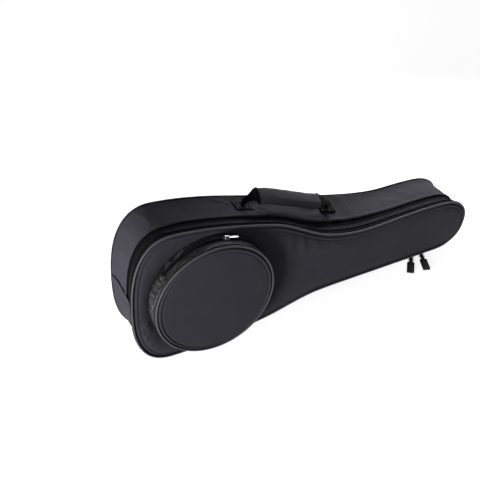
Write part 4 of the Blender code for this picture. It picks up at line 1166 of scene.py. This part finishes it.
def build_linings():
    back = BAG_DEPTH
    padded_panel("lid_lining", FOAM_START, LINING_END, "lid", ["front_foam", "front_lining"], 71)
    nodes = ["back_foam", "back_lining"]
    padded_panel("back_inside", back - FOAM_START, back - LINING_END, "bag", nodes, 72)
    inner_end = back - LINING_END - SEAM_GAP
    under = ["hinge_gusset_foam", "hinge_gusset_lining"]
    for name, start, end, y0, nodes in (
        ("side_inside", SEAM_GAP, ZIP_END - SEAM_GAP, GUSSET_Y, ["gusset_foam", "gusset_lining"]),
        ("bottom_inside", ZIP_END + SEAM_GAP, OUTLINE_TOTAL - SEAM_GAP, ZIP_LINE_Y + SEAM_GAP, under),
    ):
        rows = round((end - start) / 0.006)
        s, y = grid(np.linspace(start, end, rows), np.linspace(y0, inner_end, 18))
        from_edge = np.minimum(y - y0, inner_end - y)
        thick = FOAM_THICKNESS + LAYER_GAP + LINING_THICKNESS
        depth = thick * (1.0 - np.exp(-from_edge / FOAM_ROUND))
        depth -= 0.0005 * seeded_noise(pairs(s, y), 0.04, 75) * (from_edge > 0.004)
        place = wall_point(s, y, WALL_FOAM_INSET + depth)
        obj = sheet(name, place, pairs(s, y), LINING, LINING_CLOTH)
        finish_piece(obj, "bag", nodes)
    for name, y, inset, body in (
        ("lid_binding", 0.0062, 0.0062, "lid"),
        ("back_binding", back - 0.0085, 0.0104, "bag"),
    ):
        obj = rings(name, piping_loops(y, inset, 0.0032, 0.0012, 12), BINDING_AND_SEAM_SHADE, cyclic=True)
        finish_piece(obj, body)


# Carry handle


def handle_frame():
    """The handle's own frame: x from its tail end to its head end, y across, z away from the bag."""
    ends = []
    for x in (HANDLE_TAIL_X, HANDLE_HEAD_X):
        s = length_at_upper(x)
        out = wall_axes(s, HANDLE_Y)[2]
        ends.append(wall_point(s, HANDLE_Y, WALL_INSET) + HANDLE_AXIS_HEIGHT * out)
    tail, head = ends
    along = Vector(unit(head - tail))
    up = along.cross(Vector((0, 1, 0))).normalized()
    across = up.cross(along)
    lean = Matrix.Rotation(HANDLE_LEAN, 3, along)
    turn = Matrix((along, lean @ across, lean @ up)).transposed()
    return np.array(turn), tail, float(np.linalg.norm(head - tail))


HANDLE_TURN, HANDLE_PLACE, HANDLE_SPAN = handle_frame()
WRAP_END = WRAP_START + WRAP_LENGTH
STRAP_BASE = FOLD_RADIUS + SEAM_GAP + STRAP_THICKNESS / 2
# The share of its way to the wrap in which the strap has risen to its full height at the tail end
RISEN = 0.7


def strap_height(u):
    """How high the strap's middle lies over the line that the handle turns about."""
    if u < WRAP_START:
        share = min(max(u, 0) / (RISEN * WRAP_START), 1.0)
        return STRAP_BASE + (HANDLE_RISE - STRAP_BASE) * math.sin(0.5 * math.pi * share)
    if u > WRAP_END:
        left = max(HANDLE_SPAN - u, 0) / (HANDLE_SPAN - WRAP_END)
        return STRAP_BASE + (HANDLE_DROP - STRAP_BASE) * math.sin(0.5 * math.pi * left)
    return HANDLE_RISE + (HANDLE_DROP - HANDLE_RISE) * float(smoothstep((u - WRAP_START) / WRAP_LENGTH))


def strap_width(u):
    """The strap's width at a station: folded narrow at its sewn ends."""
    from_end = min(u / WRAP_START, (HANDLE_SPAN - u) / (HANDLE_SPAN - WRAP_END), 1.0)
    return STRAP_END_WIDTH + (STRAP_WIDTH - STRAP_END_WIDTH) * float(smoothstep(from_end * 1.1))


def along_handle(stations, section):
    """Loops of points square to the strap's line. section gives (across, up) points at a station."""
    loops = []
    for u in stations:
        rise = (strap_height(u + 0.0005) - strap_height(u - 0.0005)) / 0.001
        slope = Vector((1.0, rise)).normalized()
        loop = [(u - up * slope.y, across, strap_height(u) + up * slope.x) for across, up in section(u)]
        loops.append(np.array(loop) @ HANDLE_TURN.T + HANDLE_PLACE)
    return loops


def wrap_section(u):
    """The wrap's girth at a station: plump on top, and pinched to a sewn lip along its front."""
    share = (u - WRAP_START) / WRAP_LENGTH
    ends = 1.0 - 0.14 * math.exp(-share * 16) - 0.16 * math.exp(-(1 - share) * 16)
    loop = oval(WRAP_WIDTH, WRAP_THICKNESS * ends, 2.7, 56)
    spots = pairs(u, loop[:, 0] * 0.8, loop[:, 1] * 0.8)
    swell = 1.0 + 0.09 * seeded_noise(spots, 0.016, 81) + 0.07 * seeded_noise(spots, 0.034, 82)
    swell -= 0.06 * creases(spots, 0.014, 83, 0.18)
    loop = loop * swell[:, None]
    front = ridge(loop[:, 0], width=0.0022, height=1.0, at=-0.5 * WRAP_WIDTH)
    loop[:, 0] -= 0.0016 * front
    loop[:, 1] = loop[:, 1] * (1.0 - 0.45 * front) - 0.0016 * front
    return loop


def build_handle():
    """A webbing strap, sewn down at both ends, with a padded wrap round its middle."""
    half = FOLD_LENGTH / 2
    stations = np.linspace(-half, HANDLE_SPAN + half, 90)
    loops = along_handle(stations, lambda u: oval(strap_width(u), STRAP_THICKNESS, STRAP_SQUARENESS, 24))
    finish_piece(rings("strap", loops, WEBBING), "handle", ["handle_strap"])
    play = 0.0008
    slot_section = oval(STRAP_WIDTH + play, STRAP_THICKNESS + play, STRAP_SQUARENESS, 56)
    slot = along_handle([WRAP_END, WRAP_START], lambda u: slot_section)
    outer = along_handle(np.linspace(WRAP_START, WRAP_END, 110), wrap_section)
    # The wrap's cloth is painted lighter than the covers': painted light on its top
    obj = rings("padded_wrap", np.concatenate([outer, slot]), LIT_WRAP_CLOTH, cyclic=True)
    finish_piece(obj, "handle", ["handle_wrap"])
    build_wrap_edges()


def lap_section(u):
    """The doubled webbing, which lies on the strap."""
    lifted = (0.0, STRAP_THICKNESS * 0.98)
    return oval(strap_width(u) * 0.97, STRAP_THICKNESS, STRAP_SQUARENESS, 24) + lifted


def wrap_end_section(u):
    """The wrap's own girth, held at its first or its last station outside them."""
    return wrap_section(min(max(u, WRAP_START), WRAP_END))


def build_wrap_edges():
    """Doubled webbing at each end of the wrap, its bound ends, and the stitches along its lip."""
    over = np.linspace(0.0, math.pi, 9)
    for name, start, end, turned in (
        ("tail", 0.0085, WRAP_START + 0.006, WRAP_START - 0.0005),
        ("head", WRAP_END - 0.006, HANDLE_SPAN - 0.0105, WRAP_END + 0.0005),
    ):
        lap = along_handle(np.linspace(start, end, 18), lap_section)
        finish_piece(rings(name + "_strap_lap", lap, WEBBING), "handle")
        edge = along_handle(turned + 0.0013 * np.cos(over), wrap_end_section)
        middle = np.mean(edge, axis=(0, 1))
        bulge = 1.0 + 0.10 * np.sin(over)
        edge = middle + (np.array(edge) - middle) * bulge[:, None, None]
        finish_piece(rings(name + "_wrap_end", edge, BINDING_AND_SEAM_SHADE), "handle")
    lines = []
    for across in (-0.0120, 0.0125):
        stations = np.linspace(WRAP_START + 0.004, WRAP_END - 0.004, 70)
        loops = np.array(along_handle(stations, wrap_section))
        flat = [wrap_section(u) for u in stations]
        pick = [int(np.argmin(np.abs(loop[:, 0] - across) + 9.0 * (loop[:, 1] < 0))) for loop in flat]
        line = np.array([loops[k, index] for k, index in enumerate(pick)])
        out = HANDLE_TURN @ np.array((0.0, 0.25 * math.copysign(1.0, across), 1.0))
        lines.append((line, out))
    stitches("wrap_stitches", lines, "handle", pitch=0.0036)


def build_patches():
    """The sewn webbing squares that hold the handle, each with its fold and its box of stitches."""
    lines = []
    for name, x in (("tail", HANDLE_TAIL_X), ("head", HANDLE_HEAD_X)):
        at = length_at_upper(x)
        half_s, half_y = PATCH_LENGTH / 2, STRAP_WIDTH / 2
        across = np.linspace(HANDLE_Y - half_y, HANDLE_Y + half_y, 24)
        s, y = grid(np.linspace(at - half_s, at + half_s, 30), across)
        edge = np.minimum(half_s - np.abs(s - at), half_y - np.abs(y - HANDLE_Y))
        proud = PATCH_LIFT + PATCH_THICKNESS - 0.0006 * np.exp(-edge / 0.0012)
        place = wall_point(s, y, WALL_INSET - proud)
        obj = sheet(name + "_patch", place, pairs(s, y), WEBBING, PATCH_THICKNESS)
        finish_piece(obj, "bag")
        build_fold(name, at)
        lines += patch_lines(at, half_s - 0.0030, half_y - 0.0028)
    stitches("patch_stitches", lines, "bag", pitch=0.0030, thread=0.0009)


def patch_lines(at, half_s, half_y):
    """A box, with a cross in each half beside the fold, as stitch lines on a patch."""
    corners = [(-half_s, -half_y), (half_s, -half_y), (half_s, half_y), (-half_s, half_y)]
    legs = list(zip(corners, corners[1:] + corners[:1]))
    inner = 0.0045
    for side in (-1, 1):
        near, far = side * inner, side * half_s
        legs += [((near, -half_y), (far, half_y)), ((near, half_y), (far, -half_y))]
        legs += [((near, -half_y), (near, half_y))]
    lines = []
    for (s0, y0), (s1, y1) in legs:
        share = np.linspace(0.0, 1.0, 14)
        s, y = at + s0 + (s1 - s0) * share, HANDLE_Y + y0 + (y1 - y0) * share
        lines.append(wall_line(s, y, PATCH_LIFT + PATCH_THICKNESS + 0.0001))
    return lines


def build_fold(name, at):
    """The strap's own fold at a patch, round the line that the handle turns about."""
    seat = wall_point(at, HANDLE_Y, WALL_INSET)
    axes = np.array(wall_axes(at, HANDLE_Y))
    sections = []
    for k in np.linspace(-FOLD_LENGTH / 2, FOLD_LENGTH / 2, 6):
        neck = [(-0.0014, PATCH_LIFT + 0.0010), (-0.0014, HANDLE_AXIS_HEIGHT - 0.0016)]
        arc = [
            (-FOLD_RADIUS * math.cos(a), HANDLE_AXIS_HEIGHT + FOLD_RADIUS * math.sin(a))
            for a in np.linspace(-0.6, math.pi + 0.6, 12)
        ]
        other = [(-across, out) for across, out in reversed(neck)]
        loop = [(k, across, out) for across, out in neck + arc + other]
        sections.append(np.array(loop) @ axes + seat)
    fold = rings(name + "_strap_fold", sections, WEBBING)
    finish_piece(fold, "bag", [name + "_handle_patch"])


# Sliders and pulls


def fitting(place, axes, loops):
    """Loops given in a fitting's own frame, in the bag's."""
    return np.asarray(loops) @ np.asarray(axes) + place


def slider_shell(name, body, place, axes, length, width, material, dome=0.35):
    """The domed outer plate of a zip slider, wider at its nose, laid over the CAD's plain one."""
    loops = []
    for share in np.linspace(-1.0, 1.0, 22):
        narrow = 0.80 + 0.22 * math.cos(math.pi * (share - 0.25) * 0.5)
        end = math.sqrt(max(1.0 - abs(share) ** 6, 0.02))
        high = SLIDER_PLATE * (1.0 + dome * math.cos(share * math.pi / 2)) * end
        flat = oval(width * narrow * end * 1.03, high, 3.4, 28)
        base = SLIDER_RUNNING_GAP + 0.5 * SLIDER_PLATE * 1.2
        loops.append([(share * length * 0.515, across, base + up) for across, up in flat])
    finish_piece(rings(name, fitting(place, axes, loops), material), body)


def build_sliders():
    for side, x in (("tail", TAIL_SLIDER_X), ("head", HEAD_SLIDER_X)):
        s = length_at_lower(x)
        place, axes = wall_point(s, ZIP_LINE_Y, 0.0), wall_axes(s, ZIP_LINE_Y)
        body = side + "_slider"
        slider_shell(body + "_shell", body, place, axes, SLIDER_LENGTH, SLIDER_WIDTH, LACQUER)
    out = np.array((math.cos(POCKET_SLIDER_ANGLE), 0.0, math.sin(POCKET_SLIDER_ANGLE)))
    across = np.array((0.0, 1.0, 0.0))
    place = np.array((POCKET_X, POCKET_ZIP_Y, POCKET_Z)) + POCKET_RADIUS * out
    axes = (np.cross(across, out), across, out)
    size = (POCKET_SLIDER_LENGTH, POCKET_SLIDER_WIDTH)
    slider_shell("pocket_slider_shell", "pocket_slider", place, axes, *size, NICKEL, dome=0.0)


# The ribbed part of each main pull's grip: where it starts and ends from the eye, and its ribs
RIBS_START = 0.0068
RIBS_END = 0.0322
RIB_PITCH = 0.00318
RIB_HEIGHT = 0.0007
RIBS_CORNER = 0.0026


def across_pull(place, across, section):
    """A section's points at a place on a pull, which lies level: across it and straight up."""
    return [place + a * across + np.array((0.0, 0.0, up)) for a, up in section]


def from_row(loops):
    """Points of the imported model, in the bag's frame."""
    return (np.array(loops) - PLACE) @ TURN


def build_grip_ribs():
    """Raised ribs and a rim on both faces of each moulded pull, for the fingers."""
    for side in ("tail", "head"):
        joint = JOINTS[side + "_grip_swing"]
        across = np.array(joint["axis"])
        down_pull = np.array((across[1], -across[0], 0.0))
        eye = np.array(joint["pos_m"])
        loops = []
        for u in np.linspace(RIBS_START, RIBS_END, 90):
            from_end = min(u - RIBS_START, RIBS_END - u)
            round_off = max(RIBS_CORNER - from_end, 0.0) / RIBS_CORNER
            corner = math.sqrt(max(1.0 - round_off**2, 0.03))
            rib = 0.5 + 0.5 * math.cos(2 * math.pi * (u - RIBS_START) / RIB_PITCH)
            high = GRIP_THICKNESS + 0.0002 + RIB_HEIGHT * rib * min(from_end / 0.003, 1.0)
            section = oval(GRIP_WIDTH * 0.72 * corner, high, 4.0, 28)
            loops.append(across_pull(eye + u * down_pull, across, section))
        finish_piece(rings(side + "_grip_ribs", from_row(loops), GRIP), side + "_grip")


def build_link_bars():
    """The flat bar between the wires of each main pull's link, as its stamped ones have."""
    start, end = 0.10, 0.93
    for side in ("tail", "head"):
        eye, pivot = (np.array(JOINTS[side + part]["pos_m"]) for part in ("_grip_swing", "_link_swing"))
        across = np.array(JOINTS[side + "_grip_swing"]["axis"])
        loops = []
        for share in np.linspace(start, end, 40):
            place = pivot + share * (eye - pivot)
            place[2] = max(eye[2], pivot[2] + min(share * 2.7, 1.0) * (eye[2] - pivot[2]))
            waisted = 1.0 - 0.18 * math.sin(math.pi * (share - start) / (end - start))
            loops.append(across_pull(place, across, oval(0.0080 * waisted, 0.0014, 4.0, 16)))
        finish_piece(rings(side + "_link_bar", from_row(loops), LACQUER), side + "_link")


def dress_cad_nodes():
    """The hard parts keep their CAD shapes and take the scene's finishes."""
    dressed = {
        LACQUER: ("tail_slider", "head_slider", "tail_pull_link", "head_pull_link"),
        NICKEL: ("tail_zip_stop", "waist_zip_stop", "pocket_slider", "pocket_pull"),
        GRIP: ("tail_pull_grip", "head_pull_grip"),
        COIL: ("front_zip_coil", "back_zip_coil", "pocket_coil_base", "pocket_coil_flap"),
    }
    for material, names in dressed.items():
        for name in names:
            mesh = frame["nodes"][name].data
            mesh.materials.clear()
            mesh.materials.append(material)


# Floor, lights and camera


def seen(tree):
    """1 where the camera looks, also by way of a mirror or glass, and 0 for the light on things."""
    ray = add(tree, "ShaderNodeLightPath").outputs
    mirrored = maths(tree, "MAXIMUM", ray["Is Glossy Ray"], ray["Is Transmission Ray"])
    return maths(tree, "MAXIMUM", ray["Is Camera Ray"], mirrored)


def build_floor():
    """A pale floor that turns white where the camera sees it lit, and keeps the bag's soft shadow."""
    mesh = bpy.data.meshes.new("floor")
    reach = 6.0
    corners = [(-reach, -reach, 0), (reach, -reach, 0), (reach, reach, 0), (-reach, reach, 0)]
    mesh.from_pydata(corners, [], [(0, 1, 2, 3)])
    made, tree = new_material("pale_floor")
    surface(
        tree,
        Base_Color=colour("#dededf"),
        Roughness=0.9,
        Specular_IOR_Level=0.1,
        Emission_Color=(1.0, 1.0, 1.0, 1.0),
        Emission_Strength=maths(tree, "MULTIPLY", seen(tree), 0.8),
    )
    floor = bpy.data.objects.new("floor", mesh)
    mesh.materials.append(made)
    bpy.context.scene.collection.objects.link(floor)


# How strongly the white world lights the bag
AMBIENT = 0.20


def build_world():
    """A world that is plain white to the camera and in reflections, and lights the bag softly."""
    world = bpy.data.worlds.new("studio")
    bpy.context.scene.world = world
    world.use_nodes = True
    tree = world.node_tree
    tree.nodes.clear()
    strength = maths(tree, "ADD", maths(tree, "MULTIPLY", seen(tree), 1.0 - AMBIENT), AMBIENT)
    sky = add(tree, "ShaderNodeBackground", {"Color": (1.0, 1.0, 1.0, 1.0), "Strength": strength})
    add(tree, "ShaderNodeOutputWorld", {"Surface": sky.outputs[0]})


def area_light(name, place, aim, size, power, spread=180.0):
    data = bpy.data.lights.new(name, "AREA")
    data.shape = "RECTANGLE"
    data.size, data.size_y = size
    data.energy = power
    data.spread = math.radians(spread)
    light = bpy.data.objects.new(name, data)
    light.location = place
    light.rotation_mode = "QUATERNION"
    light.rotation_quaternion = (Vector(aim) - Vector(place)).to_track_quat("-Z", "Y")
    bpy.context.scene.collection.objects.link(light)


def build_lights():
    """The key light from the left, one that rakes the tail's wall, and one over the back of the head."""
    area_light("key_softbox", (-2.35, -1.40, 0.34), (0.05, 0.0, 0.1), (0.9, 0.6), 106.0)
    area_light("tail_softbox", (-1.5, 0.35, 0.14), (-0.12, 0.0, 0.1), (0.7, 0.3), 20.0)
    area_light("head_softbox", (1.05, 0.95, 0.75), (0.48, 0.0, 0.1), (0.5, 0.4), 3.2, 44.0)


def build_camera():
    """The photograph's viewing angle. The shift is what its framing needs."""
    az, el, roll = CAMERA_AZIMUTH, CAMERA_ELEVATION, CAMERA_ROLL
    back = Vector((math.sin(az) * math.cos(el), -math.cos(az) * math.cos(el), math.sin(el)))
    right = Vector((math.cos(az), math.sin(az), 0.0))
    up = back.cross(right)
    rolled_right = math.cos(roll) * right + math.sin(roll) * up
    rolled_up = -math.sin(roll) * right + math.cos(roll) * up
    data = bpy.data.cameras.new("camera")
    data.sensor_width = 36.0
    data.lens = FOCAL_PIXELS * data.sensor_width / IMAGE_SIDE
    data.shift_x = (IMAGE_SIDE / 2 - IMAGE_CENTRE[0]) / IMAGE_SIDE
    data.shift_y = (IMAGE_CENTRE[1] - IMAGE_SIDE / 2) / IMAGE_SIDE
    data.clip_start, data.clip_end = 0.05, 50.0
    camera = bpy.data.objects.new("camera", data)
    turn = Matrix((rolled_right, rolled_up, back)).transposed().to_4x4()
    camera.matrix_world = Matrix.Translation(CAMERA_TARGET + back * CAMERA_DISTANCE) @ turn
    bpy.context.scene.collection.objects.link(camera)
    bpy.context.scene.camera = camera


bpy.context.scene.view_settings.view_transform = "Standard"
build_camera()
build_floor()
build_world()
build_lights()
build_front_cover()
build_back_cover()
build_side_walls()
build_pipings()
build_zip()
build_pocket_wall()
build_pocket_zip()
build_pocket_front()
build_pocket_edge()
build_pocket_lining()
build_linings()
build_handle()
build_patches()
build_sliders()
build_grip_ribs()
build_link_bars()
dress_cad_nodes()
